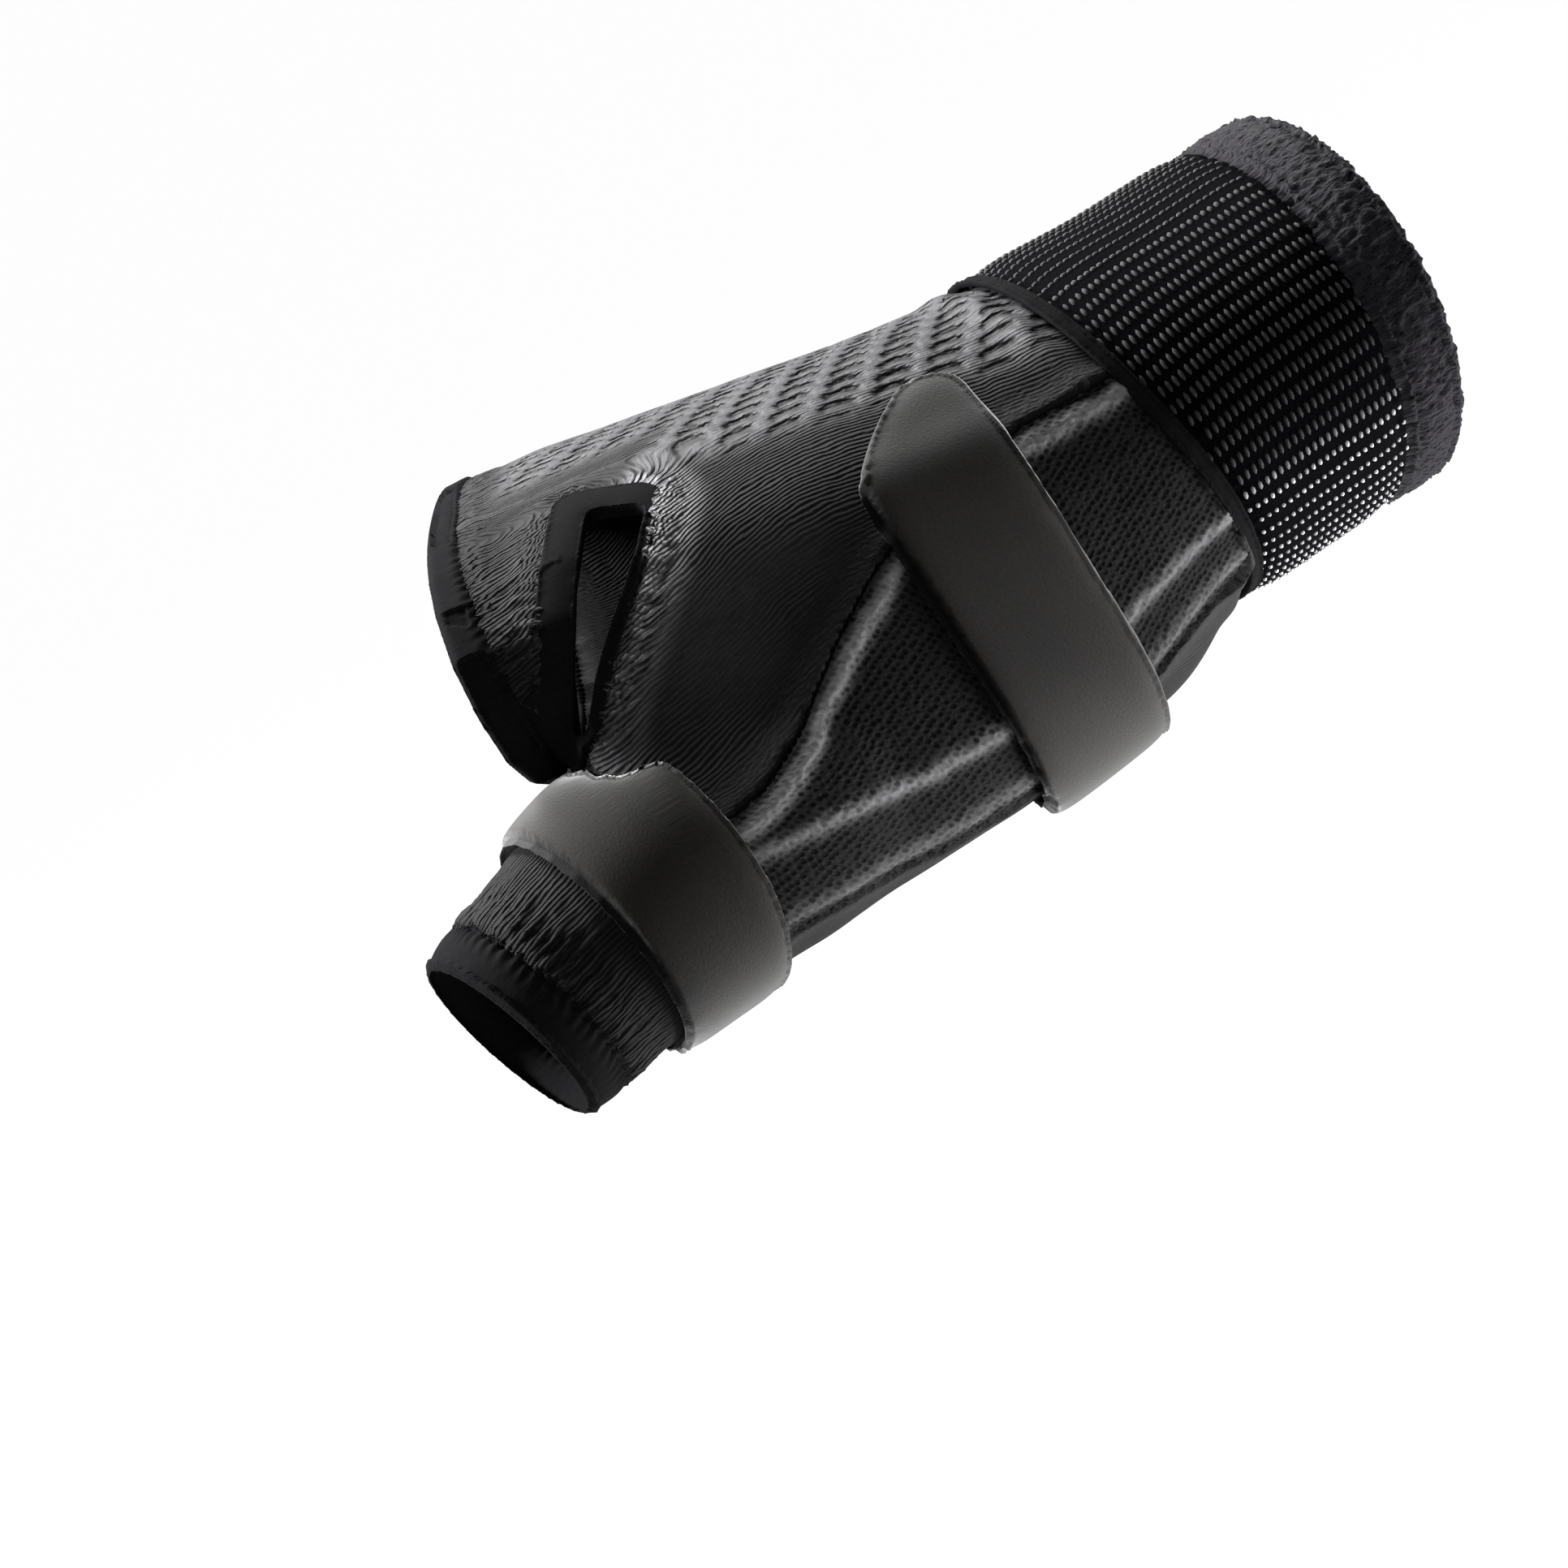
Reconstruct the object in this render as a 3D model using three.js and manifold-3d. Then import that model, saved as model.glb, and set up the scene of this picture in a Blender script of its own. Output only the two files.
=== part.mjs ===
// A thumb spica splint for the right hand, in the shape that it keeps on the arm: a knitted sleeve that
// runs from the forearm over the wrist and splits into a hand band and a thumb stall, with a drop-shaped
// gap in the web between them, a woven elastic band round the forearm, a knitted pocket for the stay on
// the thumb side, and two smooth straps, one round the wrist and one round the thumb.
//
// Lengths are in millimetres. +X runs up the forearm, -Y is the thumb's side and +Z the back of the hand.
// The origin is the middle of the wrist, on the forearm's axis.

import * as THREE from "three";
import { LoftGeometry } from "three/addons/geometries/LoftGeometry.js";
import { mergeVertices } from "three/addons/utils/BufferGeometryUtils.js";
import Module from "manifold-3d";

const wasm = await Module();
wasm.setup();

// The arm and hand, measured over the knit
const FOREARM_LENGTH = 33.5; // middle of the wrist to the forearm end
const HAND_LENGTH = 80; // middle of the wrist to the middle of the hand opening
const FOREARM_BREADTH = 63;
const FOREARM_DEPTH = 45.5;
const WRIST_BREADTH = 60;
const WRIST_DEPTH = 46;
const HAND_BREADTH = 80;
const HAND_DEPTH = 31;
const HAND_RISE = 20; // the hand opening's middle lies this far behind the forearm's axis, wrist bent back
const HAND_SHIFT = 2; // and this far towards the little finger
const HAND_SLANT = 0.36; // lead of the hand opening's thumb side, for each millimetre across
const FOREARM_LEAN = 0.1; // lead of the forearm end's back, for each millimetre of depth

// The thumb, measured over the knit
const THUMB_LENGTH = 110; // middle of the wrist to the thumb opening, along the forearm's axis
const THUMB_OUT = 39; // thumb opening's middle, to the thumb's side of the axis
const THUMB_DROP = 13.2; // and in front of it, towards the palm
const THUMB_RADIUS = 16.4; // at the ball joint
const THUMB_FLATNESS = 0.95; // depth over breadth

// The web between hand and thumb
const WEB_END = 74; // middle of the wrist to the web's edge
const WEB_ROUND = 12; // length over which the edge turns in
const WEB_DRAW = 10; // how far it turns in
const THUMB_ROOT = 15.6; // length of the stall's end that is drawn into the web
const THUMB_ROOT_DRAW = 3;

// The knit and its bindings
const KNIT = 2; // wall of the sleeve
const GAP = 0.3; // between pieces that touch
const HEM_WIDTH = 9; // terry hem at the forearm
const HEM_PROUD = 2.3;
const BINDING_WIDTH = 4.5; // smooth tape at the hand opening and round the gap
const BINDING_PROUD = 0.6;
const THUMB_HEM_WIDTH = 6;

// The drop-shaped gap
const SLIT_LENGTH = 31;
const SLIT_WIDTH = 7;
const SLIT_TIP = 0.9; // radius of its tip
const SLIT_CORNER = 1.6; // radius of its corners
const SLIT_INSET = 19; // hand opening to the gap's back end, along the sleeve
const SLIT_TIP_INSET = 8.5; // and to its tip, at the thumb
const SLIT_RIM = 1.7; // width of the tape on the wrist's side of the gap
const SLIT_START_TURN = 32; // degrees from the thumb's side towards the back of the hand
const SLIT_END_TURN = -7;

// The elastic band and the tape along its edge
const BAND_START = 0.5; // middle of the wrist to the band's front edge
const BAND_SLANT = 0.18; // lead of that edge at the back, for each millimetre of depth
const BAND_THICKNESS = 1.9;
const EDGE_WIDTH = 2.2;
const EDGE_THICKNESS = 1.3;

// The straps
const STRAP_THICKNESS = 1.7;
const WRIST_STRAP_WIDTH = 17;
const WRIST_STRAP_PLACE = 25.8; // middle of the wrist to the strap's line at the palm
const WRIST_STRAP_SWEEP = 1.8; // further towards the hand at its free end
const WRIST_STRAP_CORNER = 3.4; // radius of the free end's corners
const WRIST_STRAP_SLANT = 8.5; // how much further the free end reaches on the forearm's side
const WRIST_STRAP_CUT = 1.6; // 1 cuts it straight, more rounds its outline towards the hand
const THUMB_STRAP_WIDTH = 15.6;
const THUMB_STRAP_PLACE = 88.2; // middle of the wrist to the strap's line on the thumb
const THUMB_STRAP_TAPER = 2; // wider than that at the palm, narrower at the back

// The pocket for the stay
const POCKET_DEPTH = 20; // its edges lie this far in front of and behind the forearm's axis, at most
const POCKET_THICKNESS = 0.6;
const WELT_WIDTH = 2;
const WELT_THICKNESS = 1.1;

// Fineness of the faces
const AROUND_SLEEVE = 36;
const AROUND_INSIDE = 28;
const AROUND_THUMB = 24;
const AROUND_BAND = 36;
const ALONG_STRAP = 40;
const ROUND_STEPS = 5; // in a strap's rounded end and in the web's edge
const ACROSS_STRAP = 2;
const NORMALS = 180;
const THUMB_STEP = 3; // length over which the thumb's direction is read
const ALONG_WEB = 14;
const ALONG_HAND = 5;
const ALONG_THUMB = 8;
const ALONG_ROOT = 3;
const ALONG_POCKET = 10;
const OVERRUN = 8; // how far a cutting form runs past an opening

// Sections of the arm and hand. arm and hand: shares of FOREARM_LENGTH and HAND_LENGTH from the wrist.
// breadth and depth: how far the section has gone from the wrist's size (0) to the forearm's or hand's (1).
// rise, shift, slant, lean: shares of HAND_RISE, HAND_SHIFT, HAND_SLANT and FOREARM_LEAN.
// power: 2 is an ellipse, more is squarer.
const LIMB = [
  { arm: 1.0, hand: 0, breadth: 1, depth: 1, rise: 0.03, shift: 0, slant: 0, lean: 1, power: 2 },
  { arm: 0.5, hand: 0, breadth: 0.6, depth: 0.5, rise: 0.03, shift: 0, slant: 0, lean: 0.4, power: 2 },
  { arm: 0, hand: 0, breadth: 0, depth: 0, rise: 0, shift: 0, slant: 0, lean: 0, power: 2 },
  { arm: 0, hand: 0.08, breadth: 0.05, depth: -0.25, rise: 0, shift: 0.1, slant: 0.03, lean: 0, power: 2.1 },
  { arm: 0, hand: 0.22, breadth: 0.15, depth: -0.1, rise: 0.14, shift: 0.2, slant: 0.15, lean: 0, power: 2.1 },
  { arm: 0, hand: 0.42, breadth: 0.42, depth: 0.24, rise: 0.4, shift: 0.4, slant: 0.38, lean: 0, power: 2.2 },
  { arm: 0, hand: 0.62, breadth: 0.74, depth: 0.56, rise: 0.65, shift: 0.7, slant: 0.62, lean: 0, power: 2.3 },
  { arm: 0, hand: 0.82, breadth: 0.95, depth: 0.86, rise: 0.88, shift: 0.9, slant: 0.85, lean: 0, power: 2.4 },
  { arm: 0, hand: 1.0, breadth: 1, depth: 1, rise: 1, shift: 1, slant: 1, lean: 0, power: 2.4 },
];

// The thumb from the wrist to its opening. along: share of THUMB_LENGTH. out and drop: shares of THUMB_OUT
// and THUMB_DROP. radius: share of THUMB_RADIUS.
const THUMB = [
  { along: 0.0, out: 0.2, drop: 0.45, radius: 0.95 },
  { along: 0.07, out: 0.25, drop: 0.83, radius: 1.0 },
  { along: 0.22, out: 0.42, drop: 0.93, radius: 0.99 },
  { along: 0.43, out: 0.66, drop: 0.83, radius: 0.98 },
  { along: 0.65, out: 0.86, drop: 0.65, radius: 1.01 },
  { along: 0.78, out: 0.93, drop: 0.62, radius: 1.0 },
  { along: 0.9, out: 0.97, drop: 0.79, radius: 0.9 },
  { along: 1.0, out: 1.0, drop: 1.0, radius: 0.8 },
];

// The pocket's back edge, its inner seam and its front edge. along: share of its run from the wrist to the
// thumb strap. back, seam and front: height as shares of POCKET_DEPTH, plus is towards the back of the hand.
const POCKET = [
  { along: 0.05, back: 0.58, seam: -0.45, front: -0.78 },
  { along: 0.26, back: 0.64, seam: -0.62, front: -1.0 },
  { along: 0.47, back: 0.56, seam: -0.72, front: -1.12 },
  { along: 0.66, back: 0.26, seam: -0.62, front: -1.05 },
  { along: 0.8, back: -0.03, seam: -0.47, front: -0.93 },
  { along: 0.95, back: -0.18, seam: -0.36, front: -0.84 },
];

// A smooth curve through a table's rows: at(position) gives each column's value there.
function smoothTable(rows, position, columns) {
  const sorted = [...rows].sort((a, b) => position(a) - position(b));
  const places = Float32Array.from(sorted.map(position));
  const values = Float32Array.from(sorted.flatMap((row) => columns.map((column) => row[column])));
  const curve = new THREE.CubicInterpolant(places, values, columns.length);
  return (place) => {
    const held = THREE.MathUtils.clamp(place, places[0], places.at(-1));
    const found = curve.evaluate(held);
    return Object.fromEntries(columns.map((column, i) => [column, found[i]]));
  };
}

const limbRow = smoothTable(
  LIMB,
  (row) => row.arm * FOREARM_LENGTH - row.hand * HAND_LENGTH,
  ["breadth", "depth", "rise", "shift", "slant", "lean", "power"],
);
const thumbRow = smoothTable(THUMB, (row) => -row.along * THUMB_LENGTH, ["out", "drop", "radius"]);

// The arm's or hand's oval where the sleeve's middle line is at x.
function limbAt(x) {
  const row = limbRow(x);
  const end = x > 0 ? [FOREARM_BREADTH, FOREARM_DEPTH] : [HAND_BREADTH, HAND_DEPTH];
  return {
    y: row.shift * HAND_SHIFT,
    z: row.rise * HAND_RISE,
    halfBreadth: THREE.MathUtils.lerp(WRIST_BREADTH, end[0], row.breadth) / 2,
    halfDepth: THREE.MathUtils.lerp(WRIST_DEPTH, end[1], row.depth) / 2,
    slant: row.slant * HAND_SLANT,
    lean: row.lean * FOREARM_LEAN,
    power: row.power,
  };
}

// The thumb's round at x.
function thumbAt(x) {
  const row = thumbRow(x);
  return {
    y: -row.out * THUMB_OUT,
    z: -row.drop * THUMB_DROP,
    halfBreadth: row.radius * THUMB_RADIUS,
    halfDepth: row.radius * THUMB_RADIUS * THUMB_FLATNESS,
    power: 2,
  };
}

// How far an oval reaches from the axis in the direction of a normal.
function support(oval, ny, nz) {
  const q = oval.power / (oval.power - 1);
  const reach = Math.abs(oval.halfBreadth * ny) ** q + Math.abs(oval.halfDepth * nz) ** q;
  return oval.y * ny + oval.z * nz + reach ** (1 / q);
}

// Distance from a point inside to the cloth that is stretched round the ovals, in a direction.
// Angles start at the thumb's side and turn towards the back of the hand.
function stretched(ovals, inside, angle, offset) {
  let reach = Infinity;
  for (let i = 0; i < NORMALS; i++) {
    const turn = (2 * Math.PI * i) / NORMALS;
    const lead = Math.cos(angle - turn);
    if (lead > 0.05) {
      const ny = -Math.cos(turn);
      const nz = Math.sin(turn);
      const height = Math.max(...ovals.map((oval) => support(oval, ny, nz))) + offset;
      reach = Math.min(reach, (height - inside.y * ny - inside.z * nz) / lead);
    }
  }
  return reach;
}

// A point of the sleeve: x is where the middle line is, lobes says what the cloth is stretched round.
function sleevePoint(x, angle, offset, lobes = "both") {
  const limb = limbAt(x);
  const first = thumbAt(x);
  const thumb = thumbAt(x + limb.slant * (first.y - limb.y));
  const ovals = lobes === "hand" ? [limb] : [limb, thumb];
  const inside =
    lobes === "hand"
      ? { y: limb.y, z: limb.z }
      : { y: (limb.y + thumb.y) / 2, z: (limb.z + thumb.z) / 2 };
  const reach = stretched(ovals, inside, angle, offset);
  const y = inside.y - Math.cos(angle) * reach;
  const z = inside.z + Math.sin(angle) * reach;
  return new THREE.Vector3(x + limb.slant * (y - limb.y) + limb.lean * (z - limb.z), y, z);
}

const handPoint = (x, angle, offset) => sleevePoint(x, angle, offset, "hand");

// A point of the thumb stall, square to the thumb's own line. Past the opening the line runs straight on.
function thumbPoint(x, angle, offset) {
  const held = Math.max(x, -THUMB_LENGTH);
  const oval = thumbAt(held);
  const behind = thumbAt(held + THUMB_STEP);
  const line = new THREE.Vector3(-THUMB_STEP, oval.y - behind.y, oval.z - behind.z).normalize();
  const back = new THREE.Vector3(0, 0, 1).addScaledVector(line, -line.z).normalize();
  const side = new THREE.Vector3().crossVectors(line, back);
  return new THREE.Vector3(held, oval.y, oval.z)
    .addScaledVector(line, (x - held) / line.x)
    .addScaledVector(side, -Math.cos(angle) * (oval.halfBreadth + offset))
    .addScaledVector(back, Math.sin(angle) * (oval.halfDepth + offset));
}

// Turns a geometry into a solid that faces outwards.
function solidOf(geometry) {
  const bare = new THREE.BufferGeometry();
  bare.setAttribute("position", geometry.getAttribute("position"));
  bare.setIndex(geometry.index);
  const merged = mergeVertices(bare, 1e-3);
  const corners = merged.index.array;
  const triangles = [];
  for (let i = 0; i < corners.length; i += 3) {
    const [a, b, c] = [corners[i], corners[i + 1], corners[i + 2]];
    if (a !== b && b !== c && a !== c) triangles.push([a, b, c]);
  }
  const made = (list) =>
    new wasm.Manifold(
      new wasm.Mesh({
        numProp: 3,
        vertProperties: Float32Array.from(merged.attributes.position.array),
        triVerts: Uint32Array.from(list.flat()),
      }),
    );
  const solid = made(triangles);
  return solid.volume() > 0 ? solid : made(triangles.map(([a, b, c]) => [a, c, b]));
}

function geometryOf(solid) {
  const { numProp, numVert, vertProperties, triVerts } = solid.getMesh();
  const positions = new Float32Array(numVert * 3);
  for (let i = 0; i < numVert; i++) {
    positions.set(vertProperties.subarray(i * numProp, i * numProp + 3), i * 3);
  }
  const geometry = new THREE.BufferGeometry();
  geometry.setAttribute("position", new THREE.BufferAttribute(positions, 3));
  geometry.setIndex(new THREE.BufferAttribute(Uint32Array.from(triVerts), 1));
  geometry.computeVertexNormals();
  return geometry;
}

// The largest body of a solid, without the crumbs that a cut leaves.
function mainBody(solid) {
  return solid.decompose().sort((a, b) => b.volume() - a.volume())[0];
}

const spread = (from, to, steps) =>
  Array.from({ length: steps + 1 }, (_, i) => THREE.MathUtils.lerp(from, to, i / steps));

const turns = (steps) => spread(0, 2 * Math.PI, steps).slice(0, -1);

// A filled length of sleeve or thumb between stations of { x, offset }.
function filled(stations, point, steps) {
  const sections = stations.map(({ x, offset }) => turns(steps).map((angle) => point(x, angle, offset)));
  return solidOf(new LoftGeometry(sections, { capStart: true, capEnd: true }));
}

// A closed ring of cloth: profile(angle) gives its section as points of { x, offset }.
function ring(profile, point, steps) {
  const angles = [...turns(steps), 0];
  const sections = angles.map((angle) => profile(angle).map(({ x, offset }) => point(x, angle, offset)));
  return solidOf(new LoftGeometry(sections));
}

// The section of a tape between two places, with rounded edges, in steps that follow the form.
function tapeSection(from, to, inner, outer, steps = 1) {
  const thickness = outer - inner;
  const round = Math.min(0.35 * thickness, 0.3 * Math.abs(to - from));
  const way = Math.sign(to - from);
  const flat = spread(from + way * round, to - way * round, steps);
  return [
    ...flat.map((x) => ({ x, offset: outer })),
    { x: to, offset: outer - round },
    { x: to, offset: inner + 0.5 * round },
    ...flat.toReversed().map((x) => ({ x, offset: inner })),
    { x: from, offset: inner + 0.5 * round },
    { x: from, offset: outer - round },
  ];
}

// The filled forms of web, hand and thumb, grown by an offset.
function webForm(offset, end = FOREARM_LENGTH, around = AROUND_SLEEVE) {
  const roundStart = WEB_ROUND - WEB_END - offset;
  const edge = spread(0, 1, ROUND_STEPS).slice(1);
  const stations = [
    ...spread(end, roundStart, ALONG_WEB).map((x) => ({ x, offset })),
    ...edge.map((t) => ({
      x: roundStart - WEB_ROUND * t,
      offset: offset - WEB_DRAW * (1 - Math.sqrt(1 - t * t)),
    })),
  ];
  return filled(stations, sleevePoint, around);
}

// The hand and the thumb start inside the web, drawn in so that their ends stay hidden there.
function handForm(offset, end = HAND_LENGTH, around = AROUND_SLEEVE) {
  const start = WEB_ROUND - WEB_END;
  const stations = [
    { x: start + WEB_ROUND / 2, offset: offset - KNIT },
    ...spread(start, -end, ALONG_HAND).map((x) => ({ x, offset })),
  ];
  return filled(stations, handPoint, around);
}

function thumbForm(offset, end = THUMB_LENGTH, around = AROUND_THUMB) {
  const root = spread(1, 0, ALONG_ROOT);
  const stations = [
    ...root.map((t) => ({ x: THUMB_ROOT * t - WEB_END, offset: offset - THUMB_ROOT_DRAW * t * t })),
    ...spread(-WEB_END, -end, ALONG_THUMB)
      .slice(1)
      .map((x) => ({ x, offset })),
  ];
  return filled(stations, thumbPoint, around);
}

const form = (offset) => webForm(offset).add(handForm(offset)).add(thumbForm(offset));

// The hollow runs past all three openings.
const hollow = () =>
  webForm(-KNIT, FOREARM_LENGTH + OVERRUN, AROUND_INSIDE)
    .add(handForm(-KNIT, HAND_LENGTH + OVERRUN, AROUND_INSIDE))
    .add(thumbForm(-KNIT, THUMB_LENGTH + OVERRUN, AROUND_THUMB));

// The gap lies between two places on the hand band. Its frame has u towards the wrist, v along the gap
// from the back of the hand to its tip, and w outwards.
const degrees = THREE.MathUtils.degToRad;
const slitStart = handPoint(SLIT_INSET - HAND_LENGTH, degrees(SLIT_START_TURN), 0);
const slitEnd = handPoint(SLIT_TIP_INSET - HAND_LENGTH, degrees(SLIT_END_TURN), 0);
const slitV = slitEnd.clone().sub(slitStart).normalize();
const slitU = new THREE.Vector3(1, 0, 0).addScaledVector(slitV, -slitV.x).normalize();
const slitW = new THREE.Vector3().crossVectors(slitU, slitV);
if (slitW.y > 0) slitW.negate();
const SLIT_REACH = 14; // depth of the cut to each side of the knit

// A drop-shaped prism through the knit, grown by a margin, which may be another on the wrist's side.
function slitPrism(margin, wristMargin = margin) {
  const corner = SLIT_CORNER + wristMargin;
  const tip = SLIT_TIP + wristMargin;
  const [left, right, top] = [-margin, SLIT_WIDTH + wristMargin, -margin];
  const tipV = SLIT_LENGTH - SLIT_TIP;
  const shape = new THREE.Shape();
  shape.moveTo(left, tipV);
  shape.lineTo(left, top + corner);
  shape.absarc(left + corner, top + corner, corner, Math.PI, 1.5 * Math.PI);
  shape.lineTo(right - corner, top);
  shape.absarc(right - corner, top + corner, corner, -0.5 * Math.PI, 0);
  shape.bezierCurveTo(
    right, 0.4 * SLIT_LENGTH,
    0.35 * SLIT_WIDTH + wristMargin, 0.7 * SLIT_LENGTH,
    SLIT_TIP + tip, tipV,
  );
  shape.absarc(SLIT_TIP, tipV, tip, 0, Math.PI / 2);
  shape.absellipse(SLIT_TIP, tipV, SLIT_TIP + margin, tip, Math.PI / 2, Math.PI);
  const prism = new THREE.ExtrudeGeometry(shape, {
    depth: 2 * SLIT_REACH,
    bevelEnabled: false,
    curveSegments: 5,
  });
  prism.translate(0, 0, -SLIT_REACH);
  prism.applyMatrix4(new THREE.Matrix4().makeBasis(slitU, slitV, slitW));
  prism.translate(...slitStart.toArray());
  return solidOf(prism);
}

// The sleeve ends short of its hems and of the tape round the gap.
function knitSleeve() {
  return webForm(0, FOREARM_LENGTH - HEM_WIDTH - GAP)
    .add(handForm(0, HAND_LENGTH - BINDING_WIDTH - GAP))
    .add(thumbForm(0, THUMB_LENGTH - THUMB_HEM_WIDTH - GAP))
    .subtract(hollow())
    .subtract(slitPrism(BINDING_WIDTH + GAP, SLIT_RIM + GAP));
}

function slitBinding() {
  return mainBody(
    form(BINDING_PROUD)
      .subtract(hollow())
      .intersect(slitPrism(BINDING_WIDTH, SLIT_RIM))
      .subtract(slitPrism(0))
      .subtract(handHem(GAP)),
  );
}

// A hem is turned over the sleeve's end: its inner face lies in the sleeve's, its outer face is proud.
// margin grows it all round.
function hemRing(end, width, proud, point, steps, margin = 0) {
  const way = Math.sign(end);
  const [from, to] = [end - way * (width + margin), end + way * margin];
  const section = tapeSection(from, to, -KNIT - margin, proud + margin);
  return ring(() => section, point, steps);
}

const handHem = (margin) =>
  hemRing(-HAND_LENGTH, BINDING_WIDTH, BINDING_PROUD, handPoint, AROUND_BAND, margin);

// The band's front edge is slanted, its other edge meets the forearm hem.
function bandEdge(angle) {
  return -BAND_START - BAND_SLANT * sleevePoint(0, angle, 0).z;
}

function elasticBand(margin = 0) {
  const end = FOREARM_LENGTH - HEM_WIDTH - GAP;
  const outer = GAP + BAND_THICKNESS + margin;
  const profile = (angle) => tapeSection(bandEdge(angle) - margin, end, GAP - margin, outer, ACROSS_STRAP);
  return ring(profile, sleevePoint, AROUND_BAND);
}

function bandTape(margin = 0) {
  const profile = (angle) => {
    const end = bandEdge(angle) - GAP;
    const thickness = EDGE_THICKNESS + margin;
    return tapeSection(end - EDGE_WIDTH - margin, end + margin, GAP - margin, GAP + thickness);
  };
  return ring(profile, sleevePoint, AROUND_BAND);
}

// A flat outline of the pocket, seen from the thumb's side, run through the sleeve's near wall. It runs on
// under the band and the thumb strap, whose edges trim it.
const pocketRun = THUMB_STRAP_PLACE - THUMB_STRAP_WIDTH / 2;
const pocketRow = smoothTable(POCKET, (row) => -row.along * pocketRun, ["back", "seam", "front"]);

function pocketPrism(low, high) {
  const stations = spread(FOREARM_LENGTH / 4, -pocketRun - GAP, ALONG_POCKET);
  const place = (x, height) => new THREE.Vector2(x, height(pocketRow(x)) * POCKET_DEPTH);
  const outline = [
    ...stations.map((x) => place(x, low)),
    ...stations.toReversed().map((x) => place(x, high)),
  ];
  const prism = new THREE.ExtrudeGeometry(new THREE.Shape(outline), {
    depth: HAND_BREADTH,
    bevelEnabled: false,
  });
  prism.rotateX(Math.PI / 2);
  return solidOf(prism);
}

function stayPocket() {
  const panel = form(GAP + POCKET_THICKNESS).intersect(pocketPrism((row) => row.front, (row) => row.back));
  const share = WELT_WIDTH / POCKET_DEPTH / 2;
  const welts = ["back", "seam", "front"].map((edge) =>
    pocketPrism((row) => row[edge] - share, (row) => row[edge] + share),
  );
  const raised = form(GAP + WELT_THICKNESS);
  const whole = welts.reduce((solid, welt) => solid.add(raised.intersect(welt)), panel);
  const trims = [form(GAP), elasticBand(GAP), bandTape(GAP), thumbStrapRing(GAP, GAP)];
  return mainBody(trims.reduce((solid, trim) => solid.subtract(trim), whole));
}

// The wrist strap runs from its free end on the thumb's side over the palm to a seam on the back.
const WRIST_STRAP_FREE = degrees(64);
const WRIST_STRAP_SEWN = degrees(-212);
const ONTO_POCKET = [degrees(-75), degrees(-50)]; // where it climbs onto the pocket
const OFF_POCKET = [degrees(38), degrees(52)]; // and down from it
const SWEEP = [degrees(-50), degrees(35)]; // where it turns towards the hand

// How far the slanted end's outline has come in from the strap's two edges, at a distance from its point.
function strapEndCuts(distance, cutLength) {
  const left = Math.max(WRIST_STRAP_CORNER - distance, 0);
  const armSide = WRIST_STRAP_CORNER - Math.sqrt(WRIST_STRAP_CORNER ** 2 - left ** 2);
  const share = Math.max(1 - distance / cutLength, 0);
  return { armSide, handSide: (WRIST_STRAP_WIDTH - 2 * WRIST_STRAP_CORNER) * share ** WRIST_STRAP_CUT };
}

function wristStrap() {
  const { smoothstep } = THREE.MathUtils;
  const radius = (WRIST_BREADTH + WRIST_DEPTH) / 4;
  const cutLength = WRIST_STRAP_SLANT + WRIST_STRAP_CORNER;
  const cutEnd = WRIST_STRAP_FREE - cutLength / radius;
  const angles = [
    ...spread(0, 1, 2 * ROUND_STEPS).map((t) => THREE.MathUtils.lerp(WRIST_STRAP_FREE, cutEnd, t ** 1.5)),
    ...spread(cutEnd, WRIST_STRAP_SEWN, ALONG_STRAP).slice(1),
  ];
  const sections = angles.map((angle) => {
    const { armSide, handSide } = strapEndCuts((WRIST_STRAP_FREE - angle) * radius, cutLength);
    const middle = -WRIST_STRAP_PLACE - WRIST_STRAP_SWEEP * smoothstep(angle, ...SWEEP);
    const onPocket = smoothstep(angle, ...ONTO_POCKET) - smoothstep(angle, ...OFF_POCKET);
    const inner = GAP + (GAP + WELT_THICKNESS) * onPocket;
    const [from, to] = [middle + WRIST_STRAP_WIDTH / 2 - armSide, middle - WRIST_STRAP_WIDTH / 2 + handSide];
    const section = tapeSection(from, to, inner, inner + STRAP_THICKNESS, ACROSS_STRAP);
    return section.map(({ x, offset }) => sleevePoint(x, angle, offset));
  });
  return solidOf(new LoftGeometry(sections, { capStart: true, capEnd: true }));
}

// The thumb strap goes round the stall, and ends where it meets the hand band.
function thumbStrapRing(inner, margin) {
  const profile = (angle) => {
    const half = (THUMB_STRAP_WIDTH - THUMB_STRAP_TAPER * Math.sin(angle)) / 2 + margin;
    const [from, to] = [half - THUMB_STRAP_PLACE, -half - THUMB_STRAP_PLACE];
    return tapeSection(from, to, inner - margin, GAP + STRAP_THICKNESS + margin, ACROSS_STRAP);
  };
  return ring(profile, thumbPoint, AROUND_BAND);
}

function thumbStrap() {
  return mainBody(
    thumbStrapRing(GAP, 0)
      .subtract(webForm(GAP))
      .subtract(handForm(GAP, HAND_LENGTH + OVERRUN))
      .subtract(handHem(GAP))
      .subtract(form(BINDING_PROUD + GAP).intersect(slitPrism(BINDING_WIDTH + GAP, SLIT_RIM + GAP))),
  );
}

// Finishes
const FINISH = {
  knit: { color: 0x1c1c1f, roughness: 0.9 },
  terry: { color: 0x232227, roughness: 0.95 },
  elastic: { color: 0x121214, roughness: 0.8 },
  tape: { color: 0x141416, roughness: 0.7 },
  strap: { color: 0x2b2a28, roughness: 0.75 },
};

const part = new THREE.Group();

function place(name, finish, solid) {
  const mesh = new THREE.Mesh(geometryOf(solid), new THREE.MeshStandardMaterial(FINISH[finish]));
  mesh.name = name;
  part.add(mesh);
}

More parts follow.
